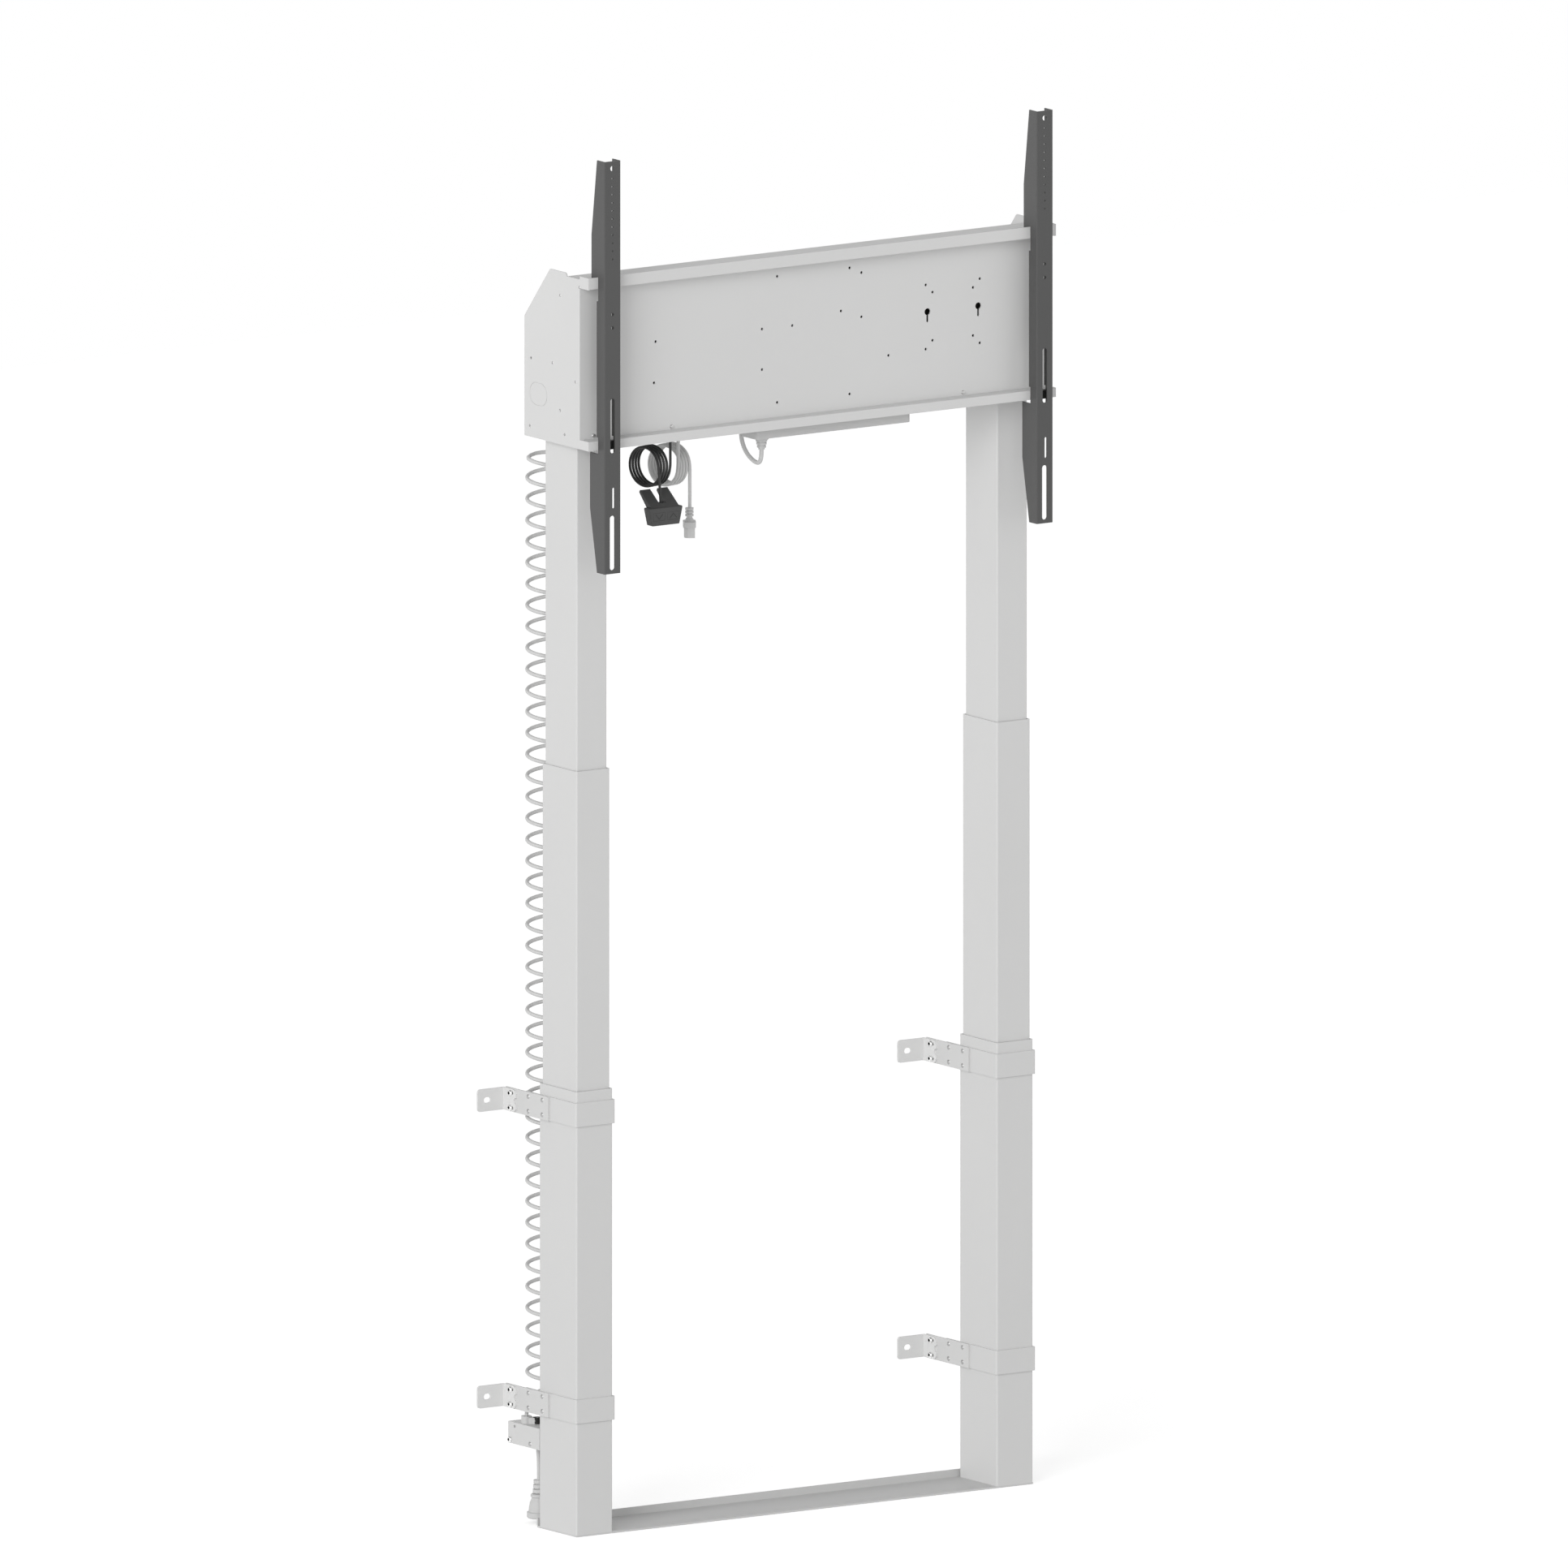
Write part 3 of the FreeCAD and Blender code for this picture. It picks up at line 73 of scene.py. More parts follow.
class Finish:
    """A surface finish: one material with its node tree."""

    def __init__(self, name, **constants):
        self.material = bpy.data.materials.new(name)
        self.material.use_nodes = True
        self.tree = self.material.node_tree
        self.shader = self.tree.nodes["Principled BSDF"]
        for socket, value in constants.items():
            self.shader.inputs[socket.replace("_", " ")].default_value = value

    def feed(self, socket, value):
        if isinstance(value, Value):
            self.tree.links.new(value.socket, socket)
        else:
            socket.default_value = value

    def node(self, kind, settings=None, inputs=None, output=0):
        made = self.tree.nodes.new(kind)
        for key, value in (settings or {}).items():
            setattr(made, key, value)
        for key, value in (inputs or {}).items():
            self.feed(made.inputs[key], value)
        return Value(self, made.outputs[output])

    def shade(self, **inputs):
        for socket, value in inputs.items():
            self.feed(self.shader.inputs[socket.replace("_", " ")], value)

    def place(self):
        return self.node("ShaderNodeTexCoord", output="Object")

    def noise(self, scale, detail=2.0, where=None):
        return self.node("ShaderNodeTexNoise", {"noise_dimensions": "3D"},
                         {"Vector": where or self.place(), "Scale": scale, "Detail": detail})

    def tint(self, amount, dark, light):
        return self.node("ShaderNodeMix", {"data_type": "RGBA"},
                         {"Factor": amount, "A": (*dark, 1), "B": (*light, 1)}, "Result")

    def bump(self, height, strength, distance):
        return self.node("ShaderNodeBump", None,
                         {"Strength": strength, "Distance": distance, "Height": height})

    def stretched(self, x, y, z):
        return self.node("ShaderNodeMapping", None, {"Vector": self.place(), "Scale": (x, y, z)})


def powder_coat(name, dark, light, rough, grain):
    # Baked powder: fine orange peel, faint cloudiness, slightly uneven gloss
    finish = Finish(name, Specular_IOR_Level=0.4)
    cloud = finish.noise(scale=5.0, detail=3.0)
    peel = finish.noise(scale=grain, detail=3.0)
    speck = finish.noise(scale=grain * 3.2, detail=1.0)
    finish.shade(
        Base_Color=finish.tint(0.75 * cloud + 0.25 * speck, dark, light),
        Roughness=rough - 0.06 + 0.12 * peel,
        Normal=finish.bump(0.7 * peel + 0.3 * speck, strength=0.22, distance=0.0004))
    return finish.material


def brushed_metal(name, dark, light, rough, along):
    # Drawn or ground metal: long fine scratches on one axis
    finish = Finish(name, Metallic=1.0)
    across_grain, along_grain = 900.0, 25.0
    stretch = [across_grain] * 3
    stretch["XYZ".index(along)] = along_grain
    scratch = finish.noise(scale=1.0, where=finish.stretched(*stretch))
    cloud = finish.noise(scale=30.0)
    finish.shade(
        Base_Color=finish.tint(0.6 * scratch + 0.4 * cloud, dark, light),
        Roughness=rough - 0.08 + 0.16 * scratch,
        Normal=finish.bump(scratch, strength=0.15, distance=0.0002))
    return finish.material


def moulded_plastic(name, dark, light, rough, grain, depth):
    # Injection moulding: spark-eroded grain with a soft sheen
    finish = Finish(name, Specular_IOR_Level=0.45)
    grains = finish.node("ShaderNodeTexVoronoi", {"feature": "F1"},
                         {"Vector": finish.place(), "Scale": grain})
    cloud = finish.noise(scale=14.0)
    finish.shade(
        Base_Color=finish.tint(0.7 * cloud + 0.3 * grains, dark, light),
        Roughness=rough + 0.08 * grains,
        Normal=finish.bump(grains, strength=depth, distance=0.0003))
    return finish.material


def cord_sheath(name, dark, light, rough):
    # Extruded sheath: smooth, with faint streaks and scuffs
    finish = Finish(name, Specular_IOR_Level=0.5)
    scuff = finish.noise(scale=220.0, detail=3.0)
    cloud = finish.noise(scale=18.0)
    finish.shade(
        Base_Color=finish.tint(0.5 * scuff + 0.5 * cloud, dark, light),
        Roughness=rough - 0.05 + 0.12 * scuff,
        Normal=finish.bump(scuff, strength=0.08, distance=0.0002))
    return finish.material


def screw_thread(name, dark, light, pitch):
    # Thread drawn as a wave up the axis; the wave repeats every pi / 10 units at a scale of 1. The wave
    # also sets the base colour band by band: painted shade in the roots and painted highlight on the
    # crests
    finish = Finish(name, Metallic=1.0)
    turns = finish.node("ShaderNodeTexWave",
                        {"wave_type": "BANDS", "bands_direction": "Z", "wave_profile": "TRI"},
                        {"Vector": finish.place(), "Scale": math.pi / (10.0 * pitch), "Distortion": 0.0})
    oil = finish.noise(scale=60.0, detail=3.0)
    finish.shade(
        Base_Color=finish.tint(0.6 * turns + 0.4 * oil, dark, light),
        Roughness=0.28 + 0.14 * oil,
        Normal=finish.bump(turns, strength=0.6, distance=0.0015))
    return finish.material


def grey(level):
    return (level, level, level * 0.995)


white_coat = powder_coat("white_coat", grey(0.622), grey(0.656), rough=0.46, grain=900.0)
# Darker copy of the white coat on the base plate: painted shade
shaded_base_coat = powder_coat("shaded_base_coat", grey(0.560), grey(0.610), rough=0.50, grain=900.0)
# Lighter copy of the white coat on the wall tabs: painted light
lit_tab_coat = powder_coat("lit_tab_coat", grey(0.715), grey(0.755), rough=0.46, grain=900.0)
black_coat = powder_coat("black_coat", grey(0.070), grey(0.082), rough=0.44, grain=1100.0)
# Near-black coat of the pan behind the panel: painted shade seen through the panel's holes
pan_shade_black = powder_coat("pan_shade_black", grey(0.012), grey(0.020), rough=0.50, grain=1100.0)
zinc_plate = brushed_metal("zinc_plate", grey(0.62), grey(0.80), rough=0.30, along="Y")
ground_steel = brushed_metal("ground_steel", grey(0.50), grey(0.66), rough=0.28, along="Z")
black_plastic = moulded_plastic("black_plastic", grey(0.052), grey(0.064),
                                rough=0.50, grain=1500.0, depth=0.25)
motor_plastic = moulded_plastic("motor_plastic", grey(0.020), grey(0.032),
                                rough=0.52, grain=1300.0, depth=0.25)
pale_plastic = moulded_plastic("pale_plastic", grey(0.56), grey(0.62),
                               rough=0.42, grain=1500.0, depth=0.12)
glide_plastic = moulded_plastic("glide_plastic", grey(0.50), grey(0.56),
                                rough=0.45, grain=1200.0, depth=0.15)
black_sheath = cord_sheath("black_sheath", grey(0.012), grey(0.022), rough=0.48)
pale_sheath = cord_sheath("pale_sheath", grey(0.55), grey(0.63), rough=0.42)
thread_steel = screw_thread("thread_steel", grey(0.40), grey(0.66), pitch=0.005)

coated = {
    white_coat: [
        "outer_tube_left", "outer_tube_right", "mid_tube_left", "mid_tube_right", "inner_tube_left",
        "inner_tube_right", "clamp_straps", "wall_arms", "front_panel", "cheek_left", "cheek_right",
        "bottom_tray", "cord_bracket"],
    shaded_base_coat: ["base_plate"],
    lit_tab_coat: ["wall_tabs"],
    black_coat: ["arm_left", "arm_right"],
    zinc_plate: ["bracket_screws", "panel_bolts", "motor_bracket_left", "motor_bracket_right"],
    ground_steel: [
        "push_tube_left", "push_tube_right", "drive_tube_left", "drive_tube_right", "lower_bearing_left",
        "lower_bearing_right", "top_bearings"],
    thread_steel: ["lower_screws", "spindle_left", "spindle_right"],
    glide_plastic: [
        "outer_glides", "mid_glides_left", "mid_glides_right", "inner_glides", "mid_cap_left",
        "mid_cap_right", "upper_nut_left", "upper_nut_right"],
    motor_plastic: ["gear_motor_left", "gear_motor_right", "control_box"],
    black_plastic: ["handset", "button_down", "button_up"],
    pale_plastic: [
        "cord_grip", "mains_plug", "strip_plug", "power_strip", "display_connector", "cord_gland"],
    pale_sheath: [
        "spiral_cord", "mains_lead", "strip_lead", "display_lead_drop", "display_lead_coil",
        "display_lead_tail"],
    black_sheath: ["handset_cord_drop", "handset_cord_coil", "handset_cord_tail"],
}
for finish, names in coated.items():
    for name in names:
        for slot in nodes[name].material_slots:
            slot.material = finish


def add_object(name, data, finish):
    piece = bpy.data.objects.new(name, data)
    scene.collection.objects.link(piece)
    data.materials.clear()
    data.materials.append(finish)
    return piece


def baked(name, shape):
    # Mesh of a finished shape
    mesh = bpy.data.meshes.new(name)
    shape.to_mesh(mesh)
    shape.free()
    return mesh


def new_corners(grown):
    return [v for v in grown["geom"] if isinstance(v, bmesh.types.BMVert)]


def ease_edges(shape, offset, segments):
    # Rounds every edge, by an offset in millimetres
    bmesh.ops.bevel(shape, geom=shape.edges[:], offset=offset * MM, offset_type="OFFSET",
                    affect="EDGES", segments=segments, profile=0.5, material=-1)


def route_curve(name, points, fineness):
    # A cord's line: one smooth spline whose control points are the route's points, in metres
    data = bpy.data.curves.new(name, "CURVE")
    data.dimensions = "3D"
    spline = data.splines.new("NURBS")
    spline.points.add(len(points) - 1)
    for knot, point in zip(spline.points, points):
        knot.co = (*point, 1.0)
    spline.order_u = 3
    spline.use_endpoint_u = True
    spline.resolution_u = fineness
    return data


def curve_mesh(curve):
    holder = bpy.data.objects.new("holder", curve)
    scene.collection.objects.link(holder)
    mesh = bpy.data.meshes.new_from_object(holder)
    bpy.data.objects.remove(holder)
    return mesh


def cord_piece(name, points, diameter, finish, body, replaced, along=6, around=5):
    # A tube on the spline, cut fine along and around it, and the points of the spline's own line
    curve = route_curve(name, points, along)
    line = curve_mesh(curve)
    path = [v.co.copy() for v in line.vertices]
    bpy.data.meshes.remove(line)
    curve.bevel_depth = diameter / 2
    curve.bevel_resolution = around
    curve.use_fill_caps = True
    mesh = curve_mesh(curve)
    bpy.data.curves.remove(curve)
    mesh.name = name
    mesh.polygons.foreach_set("use_smooth", [True] * len(mesh.polygons))
    piece = add_object(name, mesh, finish)
    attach(piece, body)
    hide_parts(*replaced)
    return piece, path


def control_radius(radius, steps):
    # Where control points stand so that the spline through their turn keeps this radius
    return radius / (0.75 + 0.25 * math.cos(TURN / steps))


# Places that repeat the model's own, in metres
column_x = 0.389
head_z = 1.700
stub_drop = 0.004
stub_z = head_z - stub_drop
handset_x = -0.269
spiral_axis = Vector((-column_x, 0.0865, 0.0))
spiral_low = 0.166
spiral_high = 1.690
grip = Vector((-0.4105, 0.104, spiral_low))
gland = Vector((-column_x, 0.060, spiral_high))

# Spiral mains cord: a left-hand helix from the gland under the tray down to the grip
spiral_diameter = 0.006
spiral_radius = 0.0268
spiral_pitch = 0.03316
spiral_turns = 44
spiral_steps = 16
spiral_lead_in = 0.0066
spiral_top = spiral_high - spiral_lead_in
eased_in = math.radians(235)
eased_out = math.radians(175)
gland_angle = math.atan2(gland.y - spiral_axis.y, gland.x - spiral_axis.x)
grip_angle = math.atan2(grip.y - spiral_axis.y, grip.x - spiral_axis.x)
sweep = TURN * spiral_turns + (grip_angle - gland_angle) % TURN


def round_axis(angle, height):
    reach = control_radius(spiral_radius, spiral_steps)
    return spiral_axis + Vector((reach * math.cos(angle), reach * math.sin(angle), height))


# The cord leaves the gland and meets the grip upright, and eases into its turns: degrees, millimetres
ease_in = [(0, 7), (12, 15), (40, 21), (80, 24), (130, 26), (180, 27.4)]
ease_out = [(156, 48), (121, 42.5), (79, 37), (43, 30), (15, 20.5), (0, 10)]
spiral_route = [gland] + [round_axis(gland_angle + math.radians(turn), spiral_high - drop * MM)
                          for turn, drop in ease_in]
step_count = round(sweep / TURN * spiral_steps)
for i in range(step_count + 1):
    turned = sweep * i / step_count
    if eased_in < turned < sweep - eased_out:
        height = spiral_top - spiral_pitch * turned / TURN
        spiral_route.append(round_axis(gland_angle + turned, height))
spiral_route += [round_axis(grip_angle - math.radians(turn), spiral_low + rise * MM)
                 for turn, rise in ease_out]
spiral_route.append(grip)
spiral, spiral_path = cord_piece("spiral_mains_cord", spiral_route, spiral_diameter, pale_sheath, "base",
                                 ["spiral_cord"], along=2, around=4)
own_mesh(spiral)

# Mains lead from the grip to the plug
lead_diameter = 0.006
lead_neck = Vector((-0.3985, 0.0915, 0.146))
plug_neck = Vector((-0.397, 0.090, 0.067))
lead_drop = lead_neck.z - plug_neck.z
upper_share, lower_share = 0.30, 0.38
mains_route = [
    lead_neck,
    lead_neck - Vector((0, 0, upper_share * lead_drop)),
    plug_neck + Vector((0, 0, lower_share * lead_drop)),
    plug_neck,
]
mains, mains_path = cord_piece("mains_lead_sheath", mains_route, lead_diameter, pale_sheath, "base",
                               ["mains_lead"])

# Strip lead: a loop from the tray down and up into the plug of the power strip
strip_diameter = 0.0068
strip_exit = Vector((-0.082, 0.0035, stub_z))
strip_neck = Vector((-0.074, -0.042, 1.660))
# From the plug's neck, in millimetres
strip_bends = [(0, 0, -14), (-1, 6, -23), (-2.5, 19, -20.5), (-4.5, 34, -11), (-7, 42.5, 4),
               (-8, 44.5, 20)]
strip_route = [strip_exit]
strip_route += [strip_neck + Vector(bend) * MM for bend in reversed(strip_bends)]
strip_route.append(strip_neck)
strip_lead, strip_path = cord_piece("strip_lead_sheath", strip_route, strip_diameter, pale_sheath,
                                    "carriage", ["strip_lead"])

# Coiled cords: a drop from the tray, neat turns, and a tail
hank_radius = 0.0305
hank_spread = 0.027
hank_turns = 4
hank_steps = 14
drop_shares = (0.30, 0.72)
tail_shares = (0.30, 0.68)
tail_drop = 0.0659
hank_axis = Vector((0.967, 0.254, 0)).normalized()
hank_front = Vector((hank_axis.y, -hank_axis.x, 0))


def hank_route(centre, way, end=None):
    # From the stub in the tray straight down to the first turn, and from the last one to the end, or
    # straight down where none is given
    wide = control_radius(hank_radius, hank_steps)
    turns = []
    for i in range(hank_turns * hank_steps + 1):
        share = i / (hank_turns * hank_steps)
        angle = TURN * hank_turns * share
        across = hank_front * (wide * math.cos(angle))
        down = Vector((0, 0, wide * math.sin(angle)))
        turns.append(centre + across - down + hank_axis * (way * hank_spread * (share - 0.5)))
    first, last = turns[0], turns[-1]
    stub = Vector((first.x, first.y, stub_z))
    finish = end or Vector((last.x, last.y, centre.z - tail_drop))
    above = [stub] + [stub.lerp(first, share) for share in drop_shares]
    below = [last.lerp(finish, share) for share in tail_shares] + [finish]
    return above + turns + below


handset_diameter = 0.0042
handset_hank = Vector((-0.267, -0.020, head_z - 0.050))
handset_entry = Vector((handset_x, -0.0545, 1.59804))
handset_route = hank_route(handset_hank, -1, handset_entry)
handset_cord, handset_path = cord_piece(
    "handset_cord", handset_route, handset_diameter, black_sheath, "carriage",
    ["handset_cord_drop", "handset_cord_coil", "handset_cord_tail"])

display_diameter = 0.0055
display_hank = Vector((-0.204, 0.020, head_z - 0.0595))
display_route = hank_route(display_hank, 1)
display_lead, display_path = cord_piece(
    "display_lead", display_route, display_diameter, pale_sheath, "carriage",
    ["display_lead_drop", "display_lead_coil", "display_lead_tail"])


# Chevron marks on the two buttons; their colour, darker than the buttons, is painted shade as of engraved
# grooves
button_spacing = 0.026
button_face_y = -0.0700
button_z = head_z - 0.121
chevron_half = 6.2 * MM
chevron_rise = 7.2 * MM
chevron_stroke = 1.5 * MM
chevron_depth = 0.2 * MM
# The marks are real; their darker colour is painted groove shade
chevron_mark_and_groove_shade = moulded_plastic("chevron_mark_and_groove_shade", grey(0.022), grey(0.030),
                                rough=0.55, grain=1500.0, depth=0.1)


def chevron(name, x, rise, body):
    shape = bmesh.new()
    outline = [(-chevron_half, 0), (0, rise), (chevron_half, 0), (chevron_half, chevron_stroke),
               (0, rise + chevron_stroke), (-chevron_half, chevron_stroke)]
    low = -(rise + chevron_stroke) / 2
    corners = [shape.verts.new((x + across, button_face_y, button_z + low + up)) for across, up in outline]
    for ring in ((0, 1, 4, 5), (1, 2, 3, 4)):
        shape.faces.new([corners[i] for i in ring])
    raised = bmesh.ops.extrude_face_region(shape, geom=shape.faces[:])
    bmesh.ops.translate(shape, vec=(0, -chevron_depth, 0), verts=new_corners(raised))
    bmesh.ops.recalc_face_normals(shape, faces=shape.faces[:])
    piece = add_object(name, baked(name, shape), chevron_mark_and_groove_shade)
    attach(piece, body)


chevron("down_chevron", handset_x - button_spacing / 2, -chevron_rise, "button_down")
chevron("up_chevron", handset_x + button_spacing / 2, chevron_rise, "button_up")


# Turned fittings and fasteners, drawn along X from their seat
def spun(profile, segments):
    # Skin of revolution about X from (height, radius) pairs in millimetres
    shape = bmesh.new()
    corners = [shape.verts.new((height * MM, 0, radius * MM)) for height, radius in profile]
    edges = [shape.edges.new(pair) for pair in zip(corners, corners[1:])]
    bmesh.ops.spin(shape, geom=corners + edges, axis=(1, 0, 0), cent=(0, 0, 0), angle=TURN,
                   steps=segments, use_merge=True)
    bmesh.ops.remove_doubles(shape, verts=shape.verts[:], dist=1e-6)
    bmesh.ops.recalc_face_normals(shape, faces=shape.faces[:])
    return shape


def hexagon(radius, height, cuts=0):
    # Six-sided ring across X, each side cut into equal lengths
    shape = bmesh.new()
    turn = Matrix.Translation((height * MM, 0, 0)) @ Matrix.Rotation(math.pi / 2, 4, "Y")
    bmesh.ops.create_circle(shape, cap_ends=False, radius=radius * MM, segments=6, matrix=turn)
    if cuts:
        bmesh.ops.subdivide_edges(shape, edges=shape.edges[:], cuts=cuts)
    return shape


def rivet_dome():
    # Cap of a ball whose rim is sunk a little into its seat
    head_r, head_height, sink, steps = 3.8, 1.6, 0.2, 6
    ball = (head_r ** 2 + head_height ** 2) / (2 * head_height)
    edge = math.asin(head_r / ball)
    profile = [(-sink, head_r)]
    for i in range(steps + 1):
        angle = edge * (1 - i / steps)
        profile.append((ball * math.cos(angle) - ball + head_height, ball * math.sin(angle)))
    return spun(profile, segments=20)


# Socket screws, in millimetres
screw_top = 4.0
socket_r = 2.5
socket_depth = 2.8


def socket_head():
    # Rounded head whose top is bridged to the rim of a hexagon socket
    shape = spun([(-0.1, 4.8), (1.9, 4.8), (2.9, 4.5), (3.6, 3.9), (screw_top, 3.1)], segments=24)
    rim = baked("rim", hexagon(socket_r, screw_top, cuts=3))
    shape.from_mesh(rim)
    bpy.data.meshes.remove(rim)
    near_top = (screw_top - 0.1) * MM
    loops = [e for e in shape.edges
             if not e.link_faces or (e.is_boundary and e.verts[0].co.x > near_top)]
    bmesh.ops.bridge_loops(shape, edges=loops)
    bmesh.ops.recalc_face_normals(shape, faces=shape.faces[:])
    return shape


def socket_cup():
    # Walls and floor of the hexagon socket, facing into it, in a near-black finish: painted shade inside
    # the socket
    shape = hexagon(socket_r, screw_top)
    walls = bmesh.ops.extrude_edge_only(shape, edges=shape.edges[:])
    low = new_corners(walls)
    bmesh.ops.translate(shape, vec=(-socket_depth * MM, 0, 0), verts=low)
    floor_edges = [e for e in shape.edges if all(v in low for v in e.verts)]
    bmesh.ops.edgeloop_fill(shape, edges=floor_edges)
    bmesh.ops.recalc_face_normals(shape, faces=shape.faces[:])
    bmesh.ops.reverse_faces(shape, faces=shape.faces[:])
    return shape


def hex_nut():
    # Nut below the seat with eased corners
    nut_r, nut_height, nut_edge = 4.6, 2.6, 0.35
    shape = hexagon(nut_r, 0.0)
    bmesh.ops.edgeloop_fill(shape, edges=shape.edges[:])
    grown = bmesh.ops.extrude_face_region(shape, geom=shape.faces[:])
    bmesh.ops.translate(shape, vec=(-nut_height * MM, 0, 0), verts=new_corners(grown))
    ease_edges(shape, nut_edge, segments=2)
    bmesh.ops.recalc_face_normals(shape, faces=shape.faces[:])
    return shape


def scatter(name, shape, places, finish, body, replaced=(), smooth=True):
    # Copies of one shape at many places, joined in one piece
    template = baked(name + "_one", shape)
    whole = bmesh.new()
    for place in places:
        before = len(whole.verts)
        whole.from_mesh(template)
        whole.verts.ensure_lookup_table()
        bmesh.ops.transform(whole, matrix=place, verts=whole.verts[before:])
    bpy.data.meshes.remove(template)
    mesh = baked(name, whole)
    mesh.polygons.foreach_set("use_smooth", [smooth] * len(mesh.polygons))
    if smooth:
        mesh.set_sharp_from_angle(angle=SHARP_EDGE)
    piece = add_object(name, mesh, finish)
    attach(piece, body)
    if replaced:
        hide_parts(*replaced)


def seat(x, y, z, way):
    # Frame whose X axis points out of the seat: way is +1 or -1 along X, or a turning matrix
    turn = way if isinstance(way, Matrix) else Matrix.Rotation(0 if way > 0 else math.pi, 4, "Z")
    return Matrix.Translation((x, y, z)) @ turn


# Rivets, socket screws and nuts of the wall clamps, and the rivet and screw of the cord bracket
clamp_levels = (0.196, 0.658)
clamp_rises = (-0.0115, 0.0115)
rivet_out = 0.0395
rivet_depths = (0.035, 0.073)
screw_out = 0.0425
nut_out = 0.0365
screw_depth = 0.116
bracket_x = -0.4225
bracket_z = 0.1268
bracket_rivet_y = 0.077
bracket_screw_y = 0.130
rivet_seats = []
screw_seats = []
nut_seats = []
for level in clamp_levels:
    for axis in (-column_x, column_x):
        for way in (-1, 1):
            for rise in clamp_rises:
                rivet_seats += [seat(axis + way * rivet_out, y, level + rise, way) for y in rivet_depths]
                screw_seats.append(seat(axis + way * screw_out, screw_depth, level + rise, way))
                nut_seats.append(seat(axis + way * nut_out, screw_depth, level + rise, way))
rivet_seats.append(seat(bracket_x, bracket_rivet_y, bracket_z, -1))
screw_seats.append(seat(bracket_x, bracket_screw_y, bracket_z, -1))
bright_zinc = brushed_metal("bright_zinc", grey(0.80), grey(0.92), rough=0.20, along="Z")
# Near-black finish: painted shade on the socket walls and floors, and the real black rubber of the grip
# bush
socket_shade_and_black_rubber = moulded_plastic("socket_shade_and_black_rubber", grey(0.006), grey(0.012),
                               rough=0.60, grain=1200.0, depth=0.15)
rivet_steel = brushed_metal("rivet_steel", grey(0.40), grey(0.50), rough=0.36, along="Z")
scatter("clamp_rivets", rivet_dome(), rivet_seats, rivet_steel, "base", ["bracket_screws"])
scatter("clamp_screws", socket_head(), screw_seats, bright_zinc, "base", ["bracket_screws"])
scatter("clamp_sockets", socket_cup(), screw_seats, socket_shade_and_black_rubber, "base",
        ["bracket_screws"], smooth=False)
scatter("clamp_nuts", hex_nut(), nut_seats, zinc_plate, "base", ["bracket_screws"])

# Rubber bush round the end of the cord grip
upright = Matrix.Rotation(-math.pi / 2, 4, "Y")
bush_z = 0.1545
bush_profile = [(0.1, 6.9), (0.4, 7.2), (4.2, 7.2), (4.6, 6.8), (5.2, 6.8), (5.6, 7.2), (9.4, 7.2),
                (9.9, 6.7), (9.9, 3.0)]
scatter("grip_bush", spun(bush_profile, segments=32), [seat(lead_neck.x, lead_neck.y, bush_z, upright)],
        socket_shade_and_black_rubber, "base")


# Motors: steel bands round the cans, a bearing boss on top, screws in the gearbox lids
gearbox_top = head_z + 0.068
motor_spots = (-0.329, 0.329)
band_rises = (0.004, 0.090)
boss_rise = 0.110
gearbox_screw_x = (0.3055, 0.4145)
gearbox_screw_y = (-0.0295, 0.0295)
small_screw = Matrix.Scale(0.75, 4)
band_profile = [(0.0, 26.0), (0.3, 26.5), (8.7, 26.5), (9.0, 26.0)]
boss_profile = [(-0.1, 12.0), (1.8, 12.0), (2.6, 11.2), (2.6, 6.4), (1.2, 6.0), (1.2, 0.0)]
scatter("motor_bands", spun(band_profile, segments=48),
        [seat(x, 0, gearbox_top + rise, upright) for x in motor_spots for rise in band_rises],
        ground_steel, "carriage")
scatter("motor_bosses", spun(boss_profile, segments=40),
        [seat(x, 0, gearbox_top + boss_rise, upright) for x in motor_spots],
        motor_plastic, "carriage")
lid_screws = [seat(way * across, y, gearbox_top, upright @ small_screw)
              for way in (-1, 1) for across in gearbox_screw_x for y in gearbox_screw_y]

# Control box: lid screws and cooling ribs
lid_y = -0.036
lid_screw_x = (-0.099, 0.119)
lid_screw_rises = (0.070, 0.140)
rib_middle_x = 0.010
rib_pitch = 0.0085
rib_rise = 0.105
ribs_each_way = 8
backward = Matrix.Rotation(math.pi / 2, 4, "Z")
lid_screws += [seat(x, lid_y, head_z + rise, backward @ small_screw)
               for x in lid_screw_x for rise in lid_screw_rises]
scatter("lid_screws", socket_head(), lid_screws, zinc_plate, "carriage")
scatter("lid_sockets", socket_cup(), lid_screws, socket_shade_and_black_rubber, "carriage", smooth=False)


def cooling_rib():
    # Bar with rounded edges that stands on the lid, its root a little below it
    thick, width, length, middle, edge = 1.6, 3.2, 46.0, 0.6, 0.6
    shape = bmesh.new()
    bmesh.ops.create_cube(shape, size=1.0)
    bmesh.ops.scale(shape, vec=(thick * MM, width * MM, length * MM), verts=shape.verts[:])
    bmesh.ops.translate(shape, vec=(middle * MM, 0, 0), verts=shape.verts[:])
    ease_edges(shape, edge, segments=3)
    return shape


scatter("cooling_ribs", cooling_rib(),
        [seat(rib_middle_x + rib_pitch * step, lid_y, head_z + rib_rise, backward)
         for step in range(-ribs_each_way, ribs_each_way + 1)],
        motor_plastic, "carriage")


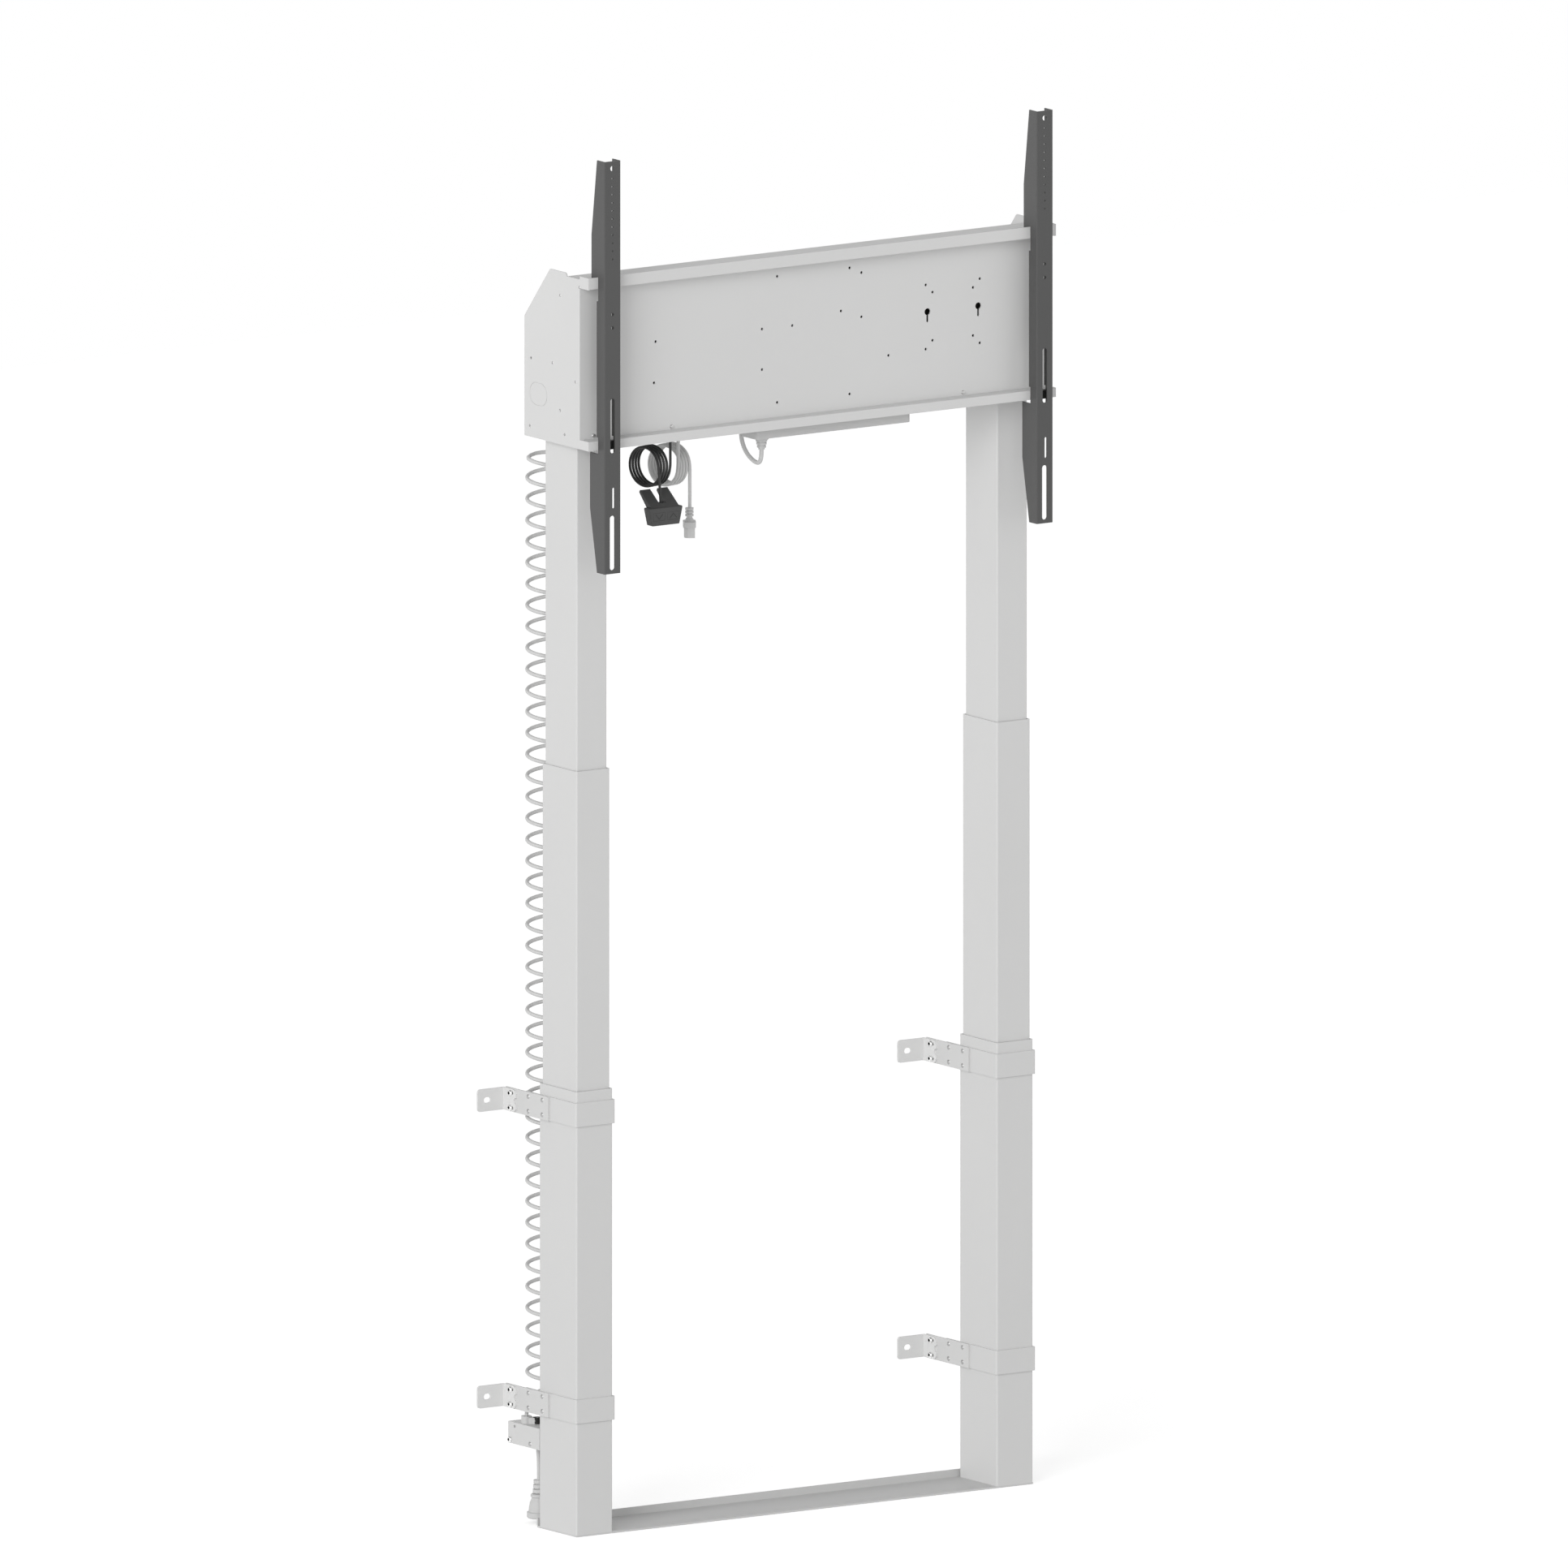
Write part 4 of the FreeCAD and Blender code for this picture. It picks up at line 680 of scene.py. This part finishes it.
# Pressed pan behind the web of the panel, coated near black: painted shade seen through the panel's holes
def rounded(shape, x0, x1, z0, z1, radius, y):
    # Ring of points round a rounded rectangle across Y, in millimetres, heights from the head's foot
    step = 15
    ring = []
    centres = ((x1 - radius, z1 - radius), (x0 + radius, z1 - radius), (x0 + radius, z0 + radius),
               (x1 - radius, z0 + radius))
    for quarter, (x, z) in enumerate(centres):
        for i in range(90 // step + 1):
            angle = math.radians(90 * quarter + step * i)
            ring.append(shape.verts.new(((x + radius * math.cos(angle)) * MM, y * MM,
                                         head_z + (z + radius * math.sin(angle)) * MM)))
    return ring


def panel_pan():
    # Shallow pan with bent edges, an opening round the control box and a foot over the tray's leg
    shape = bmesh.new()
    half, foot, top, corner = 350.6, 24.0, 246.0, 10.0
    rim_y, bend_y, bend, sheet = -73.0, -66.0, 5.0, 2.0
    leg_top, leg = 36.0, 2.0
    back_y = bend_y + bend
    box_opening = (-111.5, 131.5, 58.5, 151.5, 4.0)
    bend_angles = (0, 22.5, 45, 67.5, 90)

    def section(inset, y):
        return rounded(shape, inset - half, half - inset, foot + inset, top - inset, corner - inset, y)

    def bent(radius, angles):
        return [section(bend - radius * math.cos(math.radians(a)),
                        bend_y + radius * math.sin(math.radians(a))) for a in angles]

    rings = [section(0.0, rim_y)] + bent(bend, bend_angles)
    rings += [rounded(shape, *box_opening, y) for y in (back_y, back_y - sheet)]
    rings += bent(bend - sheet, bend_angles[::-1]) + [section(sheet, rim_y)]
    for near, far in zip(rings, rings[1:] + rings[:1]):
        for i in range(len(near)):
            after = (i + 1) % len(near)
            shape.faces.new((near[i], near[after], far[after], far[i]))
    low_rim = [v for v in rings[0] + rings[-1] if v.co.z < head_z + leg_top * MM]
    bmesh.ops.translate(shape, vec=(0, leg * MM, 0), verts=low_rim)
    bmesh.ops.recalc_face_normals(shape, faces=shape.faces[:])
    return shape


scatter("panel_pan", panel_pan(), [Matrix.Identity(4)], pan_shade_black, "carriage")


# Floor, soft light and camera
def soft_floor():
    # Pale paper that also glows where the camera or a mirror sees it
    reach, glow_strength = 9.0, 0.51
    shape = bmesh.new()
    bmesh.ops.create_grid(shape, x_segments=1, y_segments=1, size=reach)
    finish = Finish("floor_paper", Roughness=0.9, Specular_IOR_Level=0.0,
                    Base_Color=(0.80, 0.80, 0.80, 1))
    ray = [finish.node("ShaderNodeLightPath", output=name)
           for name in ("Is Camera Ray", "Is Glossy Ray", "Is Transmission Ray")]
    glow = finish.node("ShaderNodeEmission", None, {"Color": (1, 1, 1, 1), "Strength": glow_strength})
    lit = Value(finish, finish.shader.outputs["BSDF"])
    both = finish.node("ShaderNodeAddShader", None, {0: lit, 1: glow})
    seen = finish.node("ShaderNodeMixShader", None, {0: ray[0] + ray[1] + ray[2], 1: lit, 2: both})
    output = finish.tree.nodes["Material Output"]
    finish.tree.links.new(seen.socket, output.inputs["Surface"])
    piece = add_object("floor", baked("floor", shape), finish.material)


def studio_world():
    # White to the camera; as a light, brighter near the horizon than overhead
    world = bpy.data.worlds.new("studio")
    scene.world = world
    world.use_nodes = True
    tree = world.node_tree
    sky = tree.nodes["Background"]
    where = tree.nodes.new("ShaderNodeTexCoord")
    parts = tree.nodes.new("ShaderNodeSeparateXYZ")
    tree.links.new(where.outputs["Generated"], parts.inputs[0])
    rise = tree.nodes.new("ShaderNodeMapRange")
    for socket, value in (("From Min", 0.05), ("From Max", 0.85), ("To Min", 1.15), ("To Max", 0.35)):
        rise.inputs[socket].default_value = value
    tree.links.new(parts.outputs["Z"], rise.inputs["Value"])
    path = tree.nodes.new("ShaderNodeLightPath")
    direct = tree.nodes.new("ShaderNodeMath")
    direct.operation = "MAXIMUM"
    tree.links.new(path.outputs["Is Camera Ray"], direct.inputs[0])
    tree.links.new(path.outputs["Is Transmission Ray"], direct.inputs[1])
    shown = tree.nodes.new("ShaderNodeMix")
    tree.links.new(direct.outputs[0], shown.inputs["Factor"])
    tree.links.new(rise.outputs["Result"], shown.inputs["A"])
    shown.inputs["B"].default_value = 1.0
    sky.inputs["Color"].default_value = (1, 1, 1, 1)
    tree.links.new(shown.outputs["Result"], sky.inputs["Strength"])


def area_light(name, place, aim, size, power):
    data = bpy.data.lights.new(name, "AREA")
    data.shape = "SQUARE"
    data.size = size
    data.energy = power
    lamp = bpy.data.objects.new(name, data)
    scene.collection.objects.link(lamp)
    lamp.location = place
    lamp.rotation_mode = "QUATERNION"
    lamp.rotation_quaternion = (Vector(aim) - Vector(place)).to_track_quat("-Z", "Y")


soft_floor()
studio_world()
area_light("left_softbox", place=(-37.6, -22.8, 15.0), aim=(0, 0, 1.0), size=24.0, power=9500.0)

camera_data = bpy.data.cameras.new("camera")
camera_data.type = "ORTHO"
camera_data.ortho_scale = 2.406
camera_data.clip_end = 60.0
camera = bpy.data.objects.new("camera", camera_data)
scene.collection.objects.link(camera)
azimuth = math.radians(-34.0)
elevation = math.radians(10.0)
back = Vector((math.sin(azimuth) * math.cos(elevation), -math.cos(azimuth) * math.cos(elevation),
               math.sin(elevation)))
view_centre = Vector((-0.004, 0.0, 1.1254))
view_distance = 8.0
camera.location = view_centre + back * view_distance
camera.rotation_mode = "QUATERNION"
camera.rotation_quaternion = (-back).to_track_quat("-Z", "Y")
scene.camera = camera
